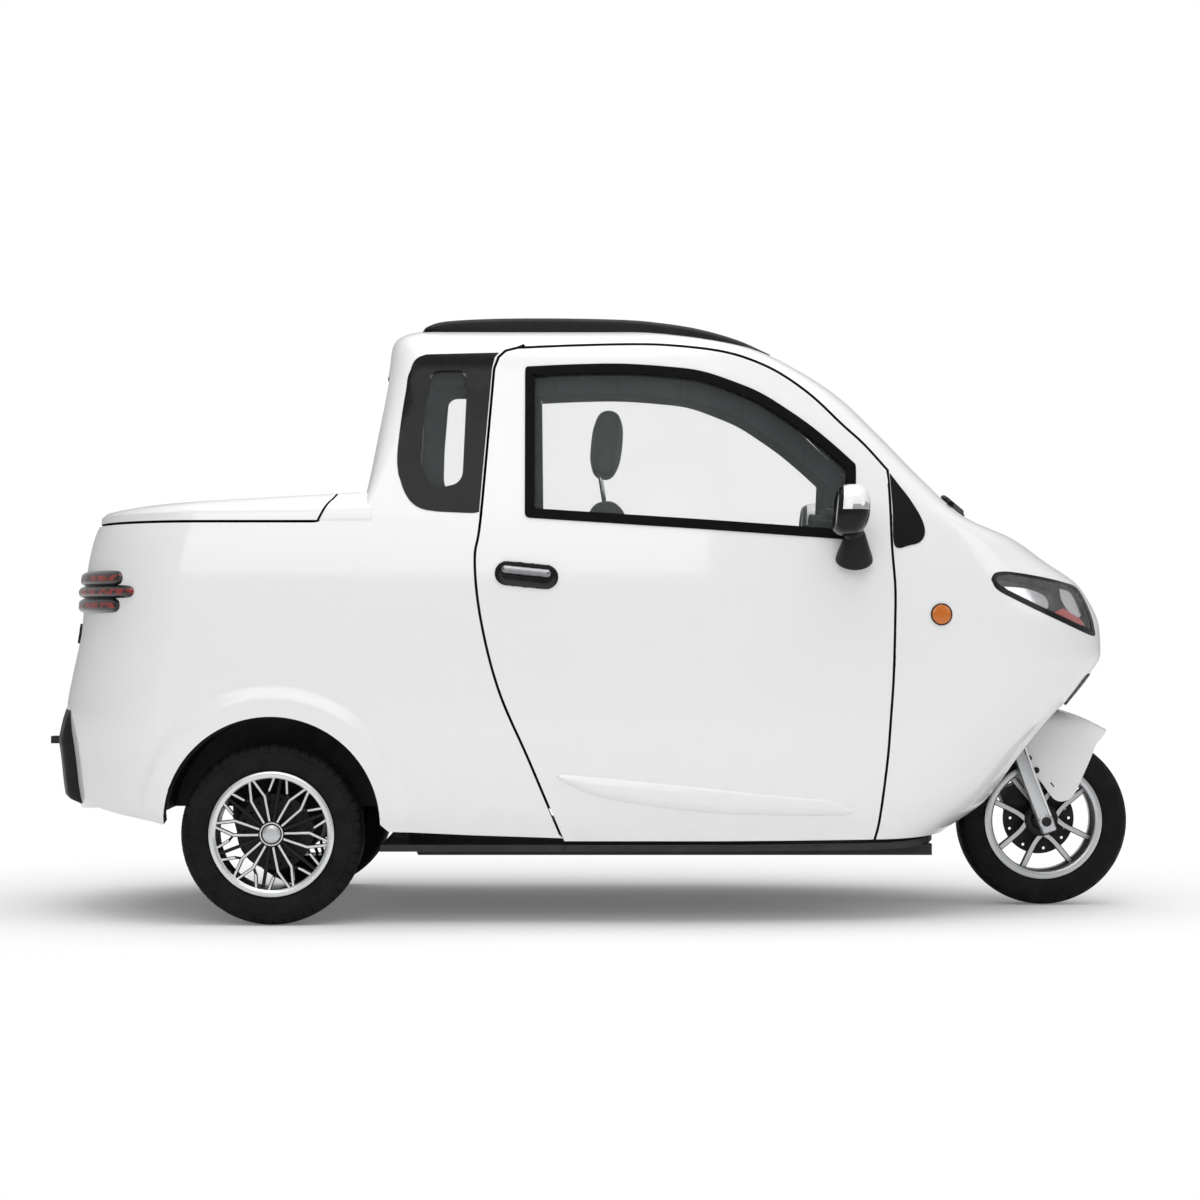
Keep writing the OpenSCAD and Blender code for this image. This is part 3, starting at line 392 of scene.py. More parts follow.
def mirror_y(piece):
    apply(piece, "MIRROR", use_axis=(False, True, False), use_mirror_merge=True, merge_threshold=0.0004)


def copy_of(piece, name):
    """Copy with its own mesh"""
    twin = piece.copy()
    twin.data = piece.data.copy()
    twin.name = name
    scene.collection.objects.link(twin)
    return twin


def other_side(piece, name):
    """Copy on the other side of the vehicle"""
    twin = copy_of(piece, name)
    with editing(twin):
        bpy.ops.transform.mirror(constraint_axis=(False, True, False), center_override=(0, 0, 0))
        bpy.ops.mesh.flip_normals()
    return twin


def join(name, *pieces):
    bpy.ops.object.select_all(action="DESELECT")
    for piece in pieces:
        piece.select_set(True)
    bpy.context.view_layer.objects.active = pieces[0]
    bpy.ops.object.join()
    pieces[0].name = name
    return pieces[0]


def fit(piece, body, slot, *nodes, smooth=None):
    """Fixes a finished piece to its body and hides the nodes it stands for; its material slot is not used"""
    if smooth:
        choose(piece)
        bpy.ops.object.shade_smooth_by_angle(angle=math.radians(smooth))
    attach(piece, body)
    if nodes:
        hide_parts(*nodes)


# White gloss plastic: a faint orange-peel ripple and patches slightly darker and rougher towards the sills
white_paint, shader, at = finish("white_gloss", Roughness=0.16, Coat_Weight=0.5, Coat_Roughness=0.04, IOR=1.5)
height = at.node("ShaderNodeSeparateXYZ", {}, {0: at}, 2)
# Below about half a metre, noise patches mix the white towards a warm grey and raise its roughness a little
low_patches = spread(height, 0.22, 0.5, 1.0, 0.0) * spread(noise(at, 14, 5), 0.42, 0.75, 0.0, 1.0)
put(shader["Base Color"], blend(at, low_patches * 0.16, (0.86, 0.863, 0.868), (0.7, 0.69, 0.67)))
put(shader["Roughness"], 0.14 + low_patches * 0.08 + 0.05 * noise(at, 5))
bump(shader, noise(at, 900, 2), 0.03, 0.001)

DOOR_FRONT = mm([752, 218], [764, 272], [783, 424], [791, 531], [799, 652], [803, 799], [803, 886],
    [795, 992], [791, 1121], [787, 1190])
DOOR_TOP = mm([787, 1190], [727, 1257], [667, 1312], [590, 1386], [508, 1445], [430, 1482], [350, 1505],
    [240, 1519], [138, 1524], [-20, 1521], [-186, 1514])
DOOR_REAR = mm([-244, 1460], [-275, 1065], [-290, 952], [-274, 796], [-228, 615], [-150, 433], [-69, 238],
    [-62, 218])
door_line = np.concatenate([curve(DOOR_FRONT), curve(DOOR_TOP)[1:], mm([-216, 1506], [-233, 1490]),
    curve(DOOR_REAR)])
door_hole = grow(dense(door_line, 0.03), GAP)

# Nose and cab: one moulding from the chin over the windscreen and roof to the cab's back wall.
# The inside is lined in dark grey, and the same dark coat on the cut edges paints shade into the shut lines;
# the fork's round well is cut out of the chin.
# Dark inside trim on the back faces; on the panels' cut edges this coat is painted shade in the shut lines
lining_and_gap_shade, shader, at = finish("dark_lining_and_gap_shade", Roughness=0.75, Specular_IOR_Level=0.2)
weave = noise(at, 700, 2)
seam = at.node("ShaderNodeTexWave", {"bands_direction": "X"}, {"Vector": at, "Scale": 1.7, "Distortion": 0.0})
thread = spread(weave, 0.35, 0.65, 0.0, 1.0)
put(shader["Base Color"], blend(at, thread, (0.016, 0.016, 0.018), (0.026, 0.026, 0.028)))
bump(shader, weave * 0.3 + spread(seam, 0.97, 1.0, 0.0, 1.0), 0.5, 0.004)

ROOF = front_skin.knots[-1]
CAB_TOP = cab_back_skin.knots[-1]


def on_rows(skin, x, ups):
    """Places on a skin at one x and several steps up"""
    z = np.interp(ups, skin.fine, skin.fine_z)
    return skin.flat(np.stack([x + 0 * ups, z], 1))


def half_of(outline):
    """Left half of an outline that crosses the middle, from its top to its bottom"""
    part = outline[outline[:, 0] > 0.002]
    middle = (outline[:, 1].min() + outline[:, 1].max()) / 2
    part = part[np.argsort(-np.arctan2(part[:, 1] - middle, part[:, 0]))]
    return np.concatenate([[[0, outline[:, 1].max()]], part, [[0, outline[:, 1].min()]]])


split = np.argmax(door_hole[:, 0] < MID)
door_fore = np.concatenate([[[0.7592, 0.218]], [p for p in door_hole[:split] if p[1] > 0.219],
    [[MID, 1.5285]]])
door_aft = np.concatenate([[[MID, 1.5285]], [p for p in door_hole[split:] if p[1] > 0.2]])
screen = soften(mm([355, 1115], [320, 1464], [-320, 1464], [-355, 1115]), 0.06)
back_light = soften(mm([400, 1190], [365, 1450], [-365, 1450], [-400, 1190]), 0.07)
headlamp = curve(mm([1068, 903], [1075, 917], [1092, 924], [1130, 924], [1220, 912], [1300, 897], [1345, 882],
    [1372, 832], [1388, 776], [1380, 752], [1256, 798], [1141, 848], [1086, 876], [1068, 903]), 6)[:-1]

nose_line = np.concatenate([front_skin.flat(door_fore), [[0, ROOF], [CENTRE, ROOF]],
    front_skin.flat_front(half_of(screen)), [[CENTRE, 0]]])
nose = panel("nose", front_skin.point, nose_line, [dense(front_skin.flat(headlamp), 0.01)], 0.018)
belt_x = door_aft[np.argmax(door_aft[:, 1] < BELT), 0]
quarter_hole = soften(mm([-430, 1490], [-300, 1490], [-289, 1478], [-306, 1096], [-318, 1082], [-395, 1085],
    [-430, 1093], [-478, 1135], [-497, 1180], [-493, 1260], [-476, 1440], [-460, 1475]), 0.03, 2)
cab_line = np.concatenate([[[0, CAB_TOP]], cab_back_skin.flat(door_aft[door_aft[:, 1] > BELT + 0.0001]),
    cab_back_skin.flat(np.array([[belt_x, BELT]])), [[CENTRE, 0]],
    cab_back_skin.flat_front(half_of(back_light))[::-1], [[CENTRE, CAB_TOP]]])
cab = panel("cab", cab_back_skin.point, cab_line, [cab_back_skin.flat(quarter_hole)], 0.018)
mirror_y(nose)
mirror_y(cab)
shell = join("body_shell", nose, cab)
with editing(shell):
    bpy.ops.mesh.remove_doubles(threshold=0.0008)
SHELL_WALL = 0.016
# The lining on the shell's cut edges is painted shade in the shut lines
thicken(shell, SHELL_WALL, white_paint, lining_and_gap_shade, rim=1)
WELL_R = 0.245
RAKE = math.radians(21)
STEM = Vector((1.24172, 0, 0.2365))
STEM_UP = Vector((-math.sin(RAKE), 0, math.cos(RAKE)))
bpy.ops.mesh.primitive_cylinder_add(vertices=96, radius=WELL_R, depth=1.6, location=STEM - STEM_UP * 0.42,
    rotation=(0, -RAKE, 0))
well_cutter = bpy.context.object
apply(shell, "BOOLEAN", object=well_cutter, operation="DIFFERENCE", solver="EXACT")
bpy.data.objects.remove(well_cutter)
fit(shell, "chassis", "white_panel", "front_body", "cab_shell", smooth=38)

# Rear body: the load box walls and tail, with a soft flare pressed round each wheel arch.
# The edge under the lid is turned in; the sides run into the cab below the quarter windows.
ARCH = np.array([-0.824, 0.2625])
ARCH_R = 0.283


def tail_up(z):
    """Step up the tail's surface at a height"""
    return float(np.interp(z, tail_skin.fine_z, tail_skin.fine))


def tail_point(flat):
    p = tail_skin.point(flat)
    away = np.hypot(p[:, 0] - ARCH[0], p[:, 2] - ARCH[1]) - ARCH_R
    step = np.clip((0.074 - away) / 0.022, 0, 1)
    p[:, 1] += np.where(p[:, 1] > 0.4, 0.009 * step**2 * (3 - 2 * step), 0)
    return p


arch_turn = np.linspace(0.0, math.pi, 60)
arch_line = ARCH + ARCH_R * np.stack([np.cos(arch_turn), np.sin(arch_turn)], 1)
sill = mm([-64, 226], [-300, 234], [-520, 244])
tail_sill = mm([-1112, 262], [-1141, 270], [-1304, 296], [-1400, 276])
rear_edge = door_aft[(door_aft[:, 1] < BELT - 0.0001) & (door_aft[:, 1] > 0.228)]
tail_bottom, tail_rim = tail_up(0.268), tail_up(1.05)
box_rim = mm([-1074, 1050], [-712, 1050], [-701, 1052], [-693, 1060], [-680, 1066], [-605, 1070])
box_line = np.concatenate([
    tail_skin.flat(np.concatenate([[[belt_x, BELT]], rear_edge, sill, arch_line, tail_sill])),
    [[CENTRE, tail_bottom], [CENTRE, tail_rim]], tail_skin.flat(box_rim)])
load_box = panel("load_box", tail_point, box_line, (), 0.014)
mirror_y(load_box)
BOX_WALL = 0.02
# The lining on the load box's cut edges is painted shade in the shut lines
thicken(load_box, BOX_WALL, white_paint, lining_and_gap_shade, rim=1)
fit(load_box, "chassis", "white_panel", "rear_body", "quarter_bands", smooth=38)

# Lid and deck strip: a shallow moulded lid over the load box, rising towards the cab.
# It is hinged along the strip that stays on the body against the cab's back wall.
LID_FRONT = -0.657
LID_WALL = 0.012
# height, tail, unused nose, pinch off the half width
LID_ROWS = mm([1057, -1356, 0, 17], [1066, -1357, 0, 17], [1078, -1352, 0, 22], [1086, -1336, 0, 38],
    [1089, -1300, 0, 78], [1091, -1240, 0, 200], [1093, -1180, 0, 600])
lid_skin = Skin(LID_ROWS, 1, np.array([0.34, 0.34, 0.34, 0.33, 0.31, 0.28, 0.26]), 1.9)


def lid_point(flat):
    p = lid_skin.point(flat)
    p[:, 2] += 0.042 * np.clip(flat[:, 1] / lid_skin.knots[4], 0, 1) * (p[:, 0] + 1.37) / 0.77
    return p


lid_top = lid_skin.knots[-1]
lid_ups = np.linspace(0, lid_top, 60)
lid_sweep = 0.045 * np.clip(1 - lid_ups / lid_skin.knots[4], 0, 1) ** 1.4
lid_cut = on_rows(lid_skin, LID_FRONT - GAP / 2 - lid_sweep, lid_ups)
lid_line = np.concatenate([lid_cut, [[CENTRE, lid_top], [CENTRE, 0]]])
lid_panel = panel("lid_panel", lid_point, lid_line, (), 0.02)
deck_back = on_rows(lid_skin, LID_FRONT + GAP / 2 - lid_sweep, lid_ups)
deck_front = on_rows(lid_skin, np.where(lid_ups < lid_skin.knots[4], -0.562, -0.598), lid_ups)
deck = panel("deck", lid_point, np.concatenate([deck_back, deck_front[::-1]]), (), 0.012)
# The lid's cut edges take the lining as painted shade in its shut line; the deck strip's edges stay white
for piece, body, node, edge_coat in ((lid_panel, "rear_lid", "lid", 1), (deck, "chassis", "deck_strip", 0)):
    mirror_y(piece)
    thicken(piece, LID_WALL, white_paint, lining_and_gap_shade, rim=edge_coat)
    fit(piece, body, "white_panel", node, smooth=38)

# Doors: hollow mouldings hung at their front edge, with a window, a raised moulding low on the outside,
# and a thick rubber seal that holds the glass.
WINDOW_TOP = mm([-166, 1466], [-40, 1472], [85, 1474], [200, 1467], [296, 1455], [380, 1428], [454, 1397],
    [522, 1355], [586, 1310], [650, 1257], [706, 1206])
window = soften(np.concatenate([curve(WINDOW_TOP), mm([704, 1110], [703, 1005], [280, 1034], [-164, 1063])]),
    0.03)
pane = grow(window[::3], -0.026)


def proud(by):
    def place(xz):
        p = side_point(xz)
        p[:, 1] += by
        return p
    return place


def ease(piece, width, segments):
    """Rounds the sharp edges of a piece"""
    apply(piece, "BEVEL", width=width, segments=segments, limit_method="ANGLE", angle_limit=math.radians(50))


rubber, shader, at = finish("seal_rubber", Roughness=0.5, Specular_IOR_Level=0.03)
put(shader["Base Color"], blend(at, noise(at, 60), (0.004, 0.004, 0.0045), (0.009, 0.009, 0.0095)))
bump(shader, noise(at, 1500, 2), 0.15, 0.0005)

glass, shader, at = finish("clear_glass", Roughness=0.0, IOR=1.45)
put(shader["Base Color"], (0.42, 0.46, 0.46))
smear = noise(at, 3, 4)
put(shader["Roughness"], spread(smear, 0.4, 0.8, 0.0, 0.03))
put(shader["Alpha"], spread(smear, 0.3, 0.8, 0.05, 0.08))

gloss_black, shader, at = finish("gloss_black", IOR=1.5, Specular_IOR_Level=0.22)
put(shader["Base Color"], blend(at, noise(at, 9), (0.004, 0.004, 0.005), (0.009, 0.009, 0.010)))
put(shader["Roughness"], spread(noise(at, 30, 4), 0.3, 0.8, 0.08, 0.2))

satin_black, shader, at = finish("satin_black", IOR=1.48, Specular_IOR_Level=0.2)
put(shader["Base Color"], blend(at, noise(at, 40), (0.007, 0.007, 0.008), (0.014, 0.014, 0.015)))
put(shader["Roughness"], spread(noise(at, 25, 4), 0.3, 0.8, 0.35, 0.55))
bump(shader, noise(at, 1400, 2), 0.25, 0.0006)

moulding_line = curve(mm([-84, 388], [-60, 394], [180, 372], [480, 340], [640, 322], [700, 290], [600, 282],
    [300, 294], [60, 328], [-50, 366], [-84, 388]), 5)[:-1]


def moulding_point(xz):
    p = side_point(xz)
    p[:, 1] += -0.001 + 0.012 * np.sqrt(np.clip(from_edge(xz, [moulding_line]) / 0.02, 0, 1))
    return p


door = panel("door_left", side_point, dense(door_line, 0.03), [window], 0.018)
ridge = panel("ridge", moulding_point, moulding_line, (), 0.006)
DOOR_WALL = 0.028
# The lining on the door's cut edges is painted shade in the shut lines
thicken(door, DOOR_WALL, white_paint, lining_and_gap_shade, rim=1)
thicken(ridge, 0.002, white_paint)
door = join("door_left", door, ridge)
bpy.ops.object.shade_smooth_by_angle(angle=math.radians(38))

seal = panel("seal_left", proud(0.003), grow(window, -0.0005), [pane], 0.012)
thicken(seal, 0.024, rubber)
ease(seal, 0.003, 2)
bpy.ops.object.shade_smooth_by_angle(angle=math.radians(45))

light = panel("glass_left", proud(-0.01), grow(pane, 0.004), (), 0.03)
GLASS_WALL = 0.004
thicken(light, GLASS_WALL, glass)
bpy.ops.object.shade_smooth_by_angle(angle=math.radians(30))
for piece, node, slot in ((door, "panel", "white_panel"), (seal, "seal", "seal_rubber"),
        (light, "glass", "clear_glass")):
    twin = other_side(piece, piece.name.replace("left", "right"))
    fit(piece, "door_left", slot, "door_" + node + "_left")
    fit(twin, "door_right", slot, "door_" + node + "_right")

# Door hinges: short black steel pins let into each door's front shut line, two to a side.
# They are fixed to the body and stay hidden in the gap while the door is shut.
HINGE_Z = (0.56, 0.86)


def settled(name, coat, edge=0, segments=2):
    """The primitive just added, with its place taken into its mesh, its edges eased and its coat on"""
    piece = bpy.context.object
    piece.name = name
    bpy.ops.object.transform_apply(location=True, rotation=True, scale=True)
    if edge:
        ease(piece, edge, segments)
    piece.data.materials.append(coat)
    return piece


hinge_pins = []
for z in HINGE_Z:
    x = float(np.interp(z, DOOR_FRONT[:, 1], DOOR_FRONT[:, 0])) + GAP / 2
    y = side_point(np.array([[x, z]]))[0, 1] - 0.012
    bpy.ops.mesh.primitive_cylinder_add(vertices=24, radius=0.002, depth=0.03, location=(x, y, z))
    hinge_pins.append(settled("hinge_pin", satin_black))
hinge_pair = join("hinge_pair", *hinge_pins)
hinges = join("door_hinges_fitted", hinge_pair, other_side(hinge_pair, "twin"))
fit(hinges, "chassis", "frame_steel", "door_hinges", smooth=40)

# Windscreen and rear window: clear curved glass set into the shell's openings,
# each held all round in a narrow black rubber seal.
for name, skin, outline, node in (("windscreen_glass", front_skin, screen, "windscreen"),
        ("rear_glass", cab_back_skin, back_light, "rear_window")):
    rim_in = half_of(grow(outline[::2], -0.014))

    def sunk(flat, skin=skin):
        p = skin.point(flat)
        p[:, 0] -= skin.way * 0.004
        return p

    loop_out, loop_in = skin.flat_front(half_of(outline)), skin.flat_front(rim_in)
    clear = panel(name, sunk, loop_in, (), 0.03)
    border = panel(name + "_border", sunk, np.concatenate([loop_out, loop_in[::-1]]), (), 0.015)
    for piece, coat in ((clear, glass), (border, rubber)):
        mirror_y(piece)
        thicken(piece, 0.004, coat)
    whole = join(name, clear, border)
    fit(whole, "chassis", "clear_glass", node, smooth=35)

# Quarter windows: a gloss black plastic frame set flush in the cab side round a tall clear pane.
# The frame reaches the door's shut line, and the pane is bonded in from behind.
quarter_pane = soften(mm([-400, 1455], [-334, 1455], [-318, 1440], [-327, 1172], [-342, 1152], [-392, 1140],
    [-420, 1158], [-436, 1210], [-432, 1300], [-418, 1440]), 0.03, 2)
quarter_fore = mm([-428, 1499], [-235, 1504], [-246, 1492], [-253, 1462], [-268, 1270], [-283, 1078],
    [-298, 1075])
quarter_aft = mm([-330, 1076], [-400, 1080], [-441, 1090], [-470, 1116], [-489, 1160], [-499, 1215],
    [-493, 1300], [-480, 1400], [-466, 1465], [-452, 1488], [-428, 1499])
quarter_edge = np.concatenate([quarter_fore, curve(quarter_aft, 4)[:-1]])
frame_left = panel("quarter_frame", proud(0.0012), quarter_edge, [quarter_pane], 0.015)
pane_left = panel("quarter_pane", proud(-0.006), grow(quarter_pane, 0.003), (), 0.03)
for piece, thick, coat, slot, node in ((frame_left, 0.02, gloss_black, "black_plastic", "quarter_frames"),
        (pane_left, GLASS_WALL, glass, "clear_glass", "quarter_panes")):
    thicken(piece, thick, coat)
    both = join(node + "_fitted", piece, other_side(piece, "twin"))
    fit(both, "chassis", slot, node, smooth=35)

# Sail panels: gloss black plastic triangles over the foot of each windscreen pillar, ahead of the door.
# They are stuck flat on the nose moulding.
sail = panel("sail", proud(0.002), curve(mm([796, 1184], [818, 1155], [848, 1116], [878, 1066], [888, 1028],
    [876, 1003], [848, 993], [806, 992], [802, 1085], [796, 1184]), 6)[:-1], (), 0.012)
thicken(sail, 0.004, gloss_black)
sails = join("sails", sail, other_side(sail, "twin"))
fit(sails, "chassis", "black_plastic", "sail_panels", smooth=35)

# Headlamps: clear swept-back lenses over a black bowl, each with a bright reflector and a red inner blade.
# The lens is bonded into the nose, with a thicker black border along its lower edge.
def in_nose(depth):
    def place(xz):
        p = side_point(xz)
        p[:, 1] -= depth * 0.8
        p[:, 0] -= depth * 0.6
        return p
    return place


bright, shader, at = finish("bright_metal", Metallic=1.0)
put(shader["Base Color"], blend(at, noise(at, 25), (0.72, 0.73, 0.75), (0.85, 0.86, 0.87)))
put(shader["Roughness"], spread(noise(at, 120, 4), 0.3, 0.8, 0.08, 0.22))

lamp_red, shader, at = finish("red_lens", IOR=1.5, Coat_Weight=0.6)
put(shader["Base Color"], blend(at, noise(at, 60), (0.30, 0.012, 0.012), (0.5, 0.03, 0.025)))
put(shader["Roughness"], spread(noise(at, 200), 0.3, 0.7, 0.08, 0.2))

lens_clear, shader, at = finish("lens_clear", Roughness=0.03, IOR=1.45)
put(shader["Base Color"], (0.95, 0.96, 0.97))
put(shader["Alpha"], spread(noise(at, 30), 0.3, 0.7, 0.04, 0.07))

lens = panel("lens", in_nose(0.0), grow(headlamp, -0.001), (), 0.012)
rim = panel("lamp_rim", in_nose(-0.001), grow(headlamp, -0.0005), [grow(headlamp, -0.011) + [0, 0.004]],
    0.008)
bowl = panel("bowl", in_nose(0.032), grow(headlamp, 0.004), (), 0.02)
dish = panel("dish", in_nose(0.018), curve(mm([1118, 885], [1180, 880], [1236, 862], [1250, 834], [1226, 822],
    [1165, 847], [1118, 885]), 6)[:-1], (), 0.008)
dish_2 = panel("dish_2", in_nose(0.014), curve(mm([1286, 884], [1330, 874], [1357, 822], [1342, 802],
    [1308, 822], [1290, 852], [1286, 884]), 6)[:-1], (), 0.008)
blade = panel("blade", in_nose(0.010), mm([1250, 812], [1290, 828], [1318, 813], [1345, 800], [1364, 780],
    [1300, 786]), (), 0.008)
for piece, coat, thick in ((lens, lens_clear, 0.002), (rim, gloss_black, 0.006), (bowl, gloss_black, 0.002),
        (dish, bright, 0.003), (dish_2, bright, 0.003), (blade, lamp_red, 0.003)):
    thicken(piece, thick, coat)
lamp = join("headlamp", lens, rim, bowl, dish, dish_2, blade)
lamps = join("headlamps_fitted", lamp, other_side(lamp, "twin"))
fit(lamps, "chassis", "lamp_clear", "headlamps", smooth=40)

# Tail lamps: smoked plastic lenses in three bars that wrap the rear corners, with red bands behind.
# The middle bar runs on forward to a rounded point; each lamp is bonded onto the tail.
smoked, shader, at = finish("smoked_lens", IOR=1.5, Specular_IOR_Level=0.35, Coat_Weight=0.25,
    Coat_Roughness=0.03)
up = at.node("ShaderNodeSeparateXYZ", {}, {0: at}, 2)
bars = at.node("ShaderNodeMath", {"operation": "PINGPONG"}, {0: up - 0.835, 1: 0.018})
lit = spread(bars, 0.006, 0.009, 1.0, 0.0) * spread(noise(at, 48), 0.44, 0.52, 0.0, 1.0)
put(shader["Base Color"], blend(at, lit, (0.008, 0.008, 0.009), (0.26, 0.018, 0.014)))
put(shader["Roughness"], spread(noise(at, 90), 0.3, 0.7, 0.06, 0.15))


def lobe(name, tip, low, high, back, rise):
    """One bar of the lamp, from its rounded forward tip round the corner to the tail"""
    line = tail_skin.flat(curve(mm([tip - 60, high], [tip - 12, high - 3], [tip, (low + high) / 2],
        [tip - 12, low + 3], [tip - 60, low]), 4))
    line = np.concatenate([line, [[back, tail_up(low / 1000)], [back, tail_up(high / 1000)]]])

    def place(flat):
        p = tail_skin.point(flat)
        out = rise * np.sqrt(np.clip(from_edge(flat, [line]) / 0.012, 0, 1)) - 0.001
        turn = np.clip((flat[:, 0] - 1.0) / 0.3, 0, 1)
        p[:, 1] += out * (0.85 - 0.5 * turn)
        p[:, 0] -= out * (0.3 + 0.9 * turn)
        return p
    return panel(name, place, line, (), 0.006)


rear_lamp = join("rear_lamp", lobe("lobe_top", -1224, 886, 928, 1.40, 0.015),
    lobe("lobe_middle", -1188, 853, 889, 1.40, 0.017),
    lobe("lobe_low", -1232, 814, 856, 1.40, 0.015))
thicken(rear_lamp, 0.003, smoked)
rear_lamps = join("tail_lamps_fitted", rear_lamp, other_side(rear_lamp, "twin"))
fit(rear_lamps, "chassis", "lamp_red", "tail_lamps", smooth=45)

# Side markers: round domed amber lenses pressed into black plastic rings,
# one on each side of the nose.
amber, shader, at = finish("amber_lens", IOR=1.5, Coat_Weight=0.5)
put(shader["Base Color"], blend(at, noise(at, 80), (0.50, 0.115, 0.003), (0.62, 0.165, 0.006)))
put(shader["Roughness"], spread(noise(at, 60), 0.3, 0.7, 0.1, 0.25))
bump(shader, noise(at, 400, 1), 0.4, 0.001)
MARKER = np.array([0.932, 0.811])
around = np.linspace(0, 2 * math.pi, 48, endpoint=False)
marker_ring = MARKER + 0.029 * np.stack([np.cos(around), np.sin(around)], 1)


def marker_point(xz):
    p = side_point(xz)
    p[:, 1] += 0.001 + 0.007 * np.sqrt(np.clip(1 - (np.hypot(*(xz - MARKER).T) / 0.027) ** 2, 0, 1))
    return p


button = panel("marker", marker_point, MARKER + (marker_ring - MARKER) * 0.93, (), 0.004)
collar = panel("marker_collar", proud(0.003), marker_ring, [MARKER + (marker_ring - MARKER) * 0.9], 0.004)
for piece, coat in ((button, amber), (collar, satin_black)):
    thicken(piece, 0.004, coat)
marker = join("marker", button, collar)
markers = join("marker_lamps_fitted", marker, other_side(marker, "twin"))
fit(markers, "chassis", "lamp_amber", "marker_lamps", smooth=45)

# Roof rails: satin black plastic mouldings screwed down along the roof's edges,
# which follow its curve and taper into it at both ends.
RAIL_Y = 0.366
rail_top = curve(mm([-442, 1572], [-428, 1584], [-380, 1597], [-250, 1604], [-75, 1605], [100, 1601],
    [200, 1592], [298, 1576], [400, 1547], [487, 1508]), 5)
probe = np.linspace(1.45, 1.5975, 300)


def roof_height(x, y):
    at_x = np.stack([np.full(300, x), probe], 1)
    return float(np.interp(-y, -side_point(at_x)[:, 1], probe))


rail_foot = np.array([[x, roof_height(x, RAIL_Y - 0.004) - 0.002] for x in np.linspace(0.487, -0.442, 60)])
rail_line = np.concatenate([rail_top, rail_foot])


def rail_point(xz):
    rounding = np.sqrt(np.clip(from_edge(xz, [rail_top]) / 0.01, 0, 1))
    return np.stack([xz[:, 0], RAIL_Y - 0.012 + 0.012 * rounding, xz[:, 1]], 1)


rail = panel("rail", rail_point, rail_line, (), 0.005)
thicken(rail, 0.026, satin_black)
rails = join("roof_rails_fitted", rail, other_side(rail, "twin"))
fit(rails, "chassis", "black_plastic", "roof_rails", smooth=50)

# Rear bumper: a grained black plastic moulding clipped over the foot of the tail,
# thickest along its lower half and drawn in towards its ends.
bumper_low, bumper_high = tail_up(0.297), tail_up(0.551)
bumper_line = soften(np.array([[1.33, bumper_low], [CENTRE, bumper_low], [CENTRE, bumper_high],
    [1.33, bumper_high]]), 0.014, 2)
bumper_line[:, 0] = np.where(bumper_line[:, 0] > 1.585, CENTRE, bumper_line[:, 0])


def bumper_point(flat):
    p = tail_skin.point(flat)
    mirrored = np.stack([np.minimum(flat[:, 0], 1.56), flat[:, 1]], 1)
    edge = np.sqrt(np.clip(from_edge(mirrored, [bumper_line]) / 0.02, 0, 1))
    p[:, 0] -= 0.002 + 0.028 * np.minimum(edge, np.clip((bumper_high - flat[:, 1]) / 0.085, 0, 1))
    return p


bumper = panel("bumper", bumper_point, bumper_line, (), 0.012)
mirror_y(bumper)
thicken(bumper, 0.004, satin_black)
fit(bumper, "chassis", "black_plastic", "rear_bumper", smooth=50)

# Door handles: a dished gloss black cup in the door skin
# with a chromed pull bar across its upper half, its colour darkened as a painted dark reflection.
def capsule(a, b, r):
    d = math.atan2(b[1] - a[1], b[0] - a[0])
    arc = np.linspace(-math.pi / 2, math.pi / 2, 16)
    return np.concatenate([b + r * np.stack([np.cos(d + arc), np.sin(d + arc)], 1),
        a + r * np.stack([np.cos(d + math.pi + arc), np.sin(d + math.pi + arc)], 1)])


cup_line = capsule(np.array([-0.210, 0.918]), np.array([-0.108, 0.908]), 0.031)
bar_line = capsule(np.array([-0.214, 0.928]), np.array([-0.105, 0.917]), 0.013)


def pillow(loop, base, rise, run):
    def place(xz):
        p = side_point(xz)
        p[:, 1] += base + rise * np.sqrt(np.clip(from_edge(xz, [loop]) / run, 0, 1))
        return p
    return place


# The pull is chrome; its dark base colour is a painted reflection of dark surroundings
dark_chrome, shader, at = finish("dark_chrome", Metallic=1.0)
put(shader["Base Color"], blend(at, noise(at, 30), (0.20, 0.20, 0.21), (0.28, 0.28, 0.29)))
put(shader["Roughness"], spread(noise(at, 160, 4), 0.3, 0.8, 0.1, 0.2))
cup = panel("cup", pillow(cup_line, 0.0035, -0.0025, 0.012), cup_line, (), 0.005)
pull = panel("pull", pillow(bar_line, 0.002, 0.014, 0.010), bar_line, (), 0.003)
for piece, coat in ((cup, gloss_black), (pull, dark_chrome)):
    thicken(piece, 0.002, coat)
handle = join("handle_left", cup, pull)
bpy.ops.object.shade_smooth_by_angle(angle=math.radians(50))
for side, piece in (("left", handle), ("right", other_side(handle, "handle_right"))):
    fit(piece, "door_" + side, "bright_trim", "door_handle_" + side)

# Door mirrors: a flared black foot on the door, a short stalk and a rounded head with a white cap,
# a bright metal indicator strip and a flat glass facing the driver.
mirror_glass, shader, at = finish("mirror_glass", Metallic=1.0)
put(shader["Base Color"], (0.86, 0.88, 0.9))
put(shader["Roughness"], spread(noise(at, 8), 0.3, 0.7, 0.02, 0.05))
HEAD = Vector((0.676, 0.65, 1.08))
bpy.ops.mesh.primitive_uv_sphere_add(segments=48, ring_count=32, radius=1, rotation=(0, math.pi / 2, 0))
head = settled("mirror_left", gloss_black)
for v in head.data.vertices:
    x, y, z = (math.copysign(abs(c) ** 0.8, c) for c in v.co)
    v.co = HEAD + Vector((max(0.052 * x, -0.036) + 0.006 * z, 0.085 * y, 0.067 * z))
bpy.ops.object.mode_set(mode="EDIT")
bpy.ops.mesh.select_all(action="DESELECT")
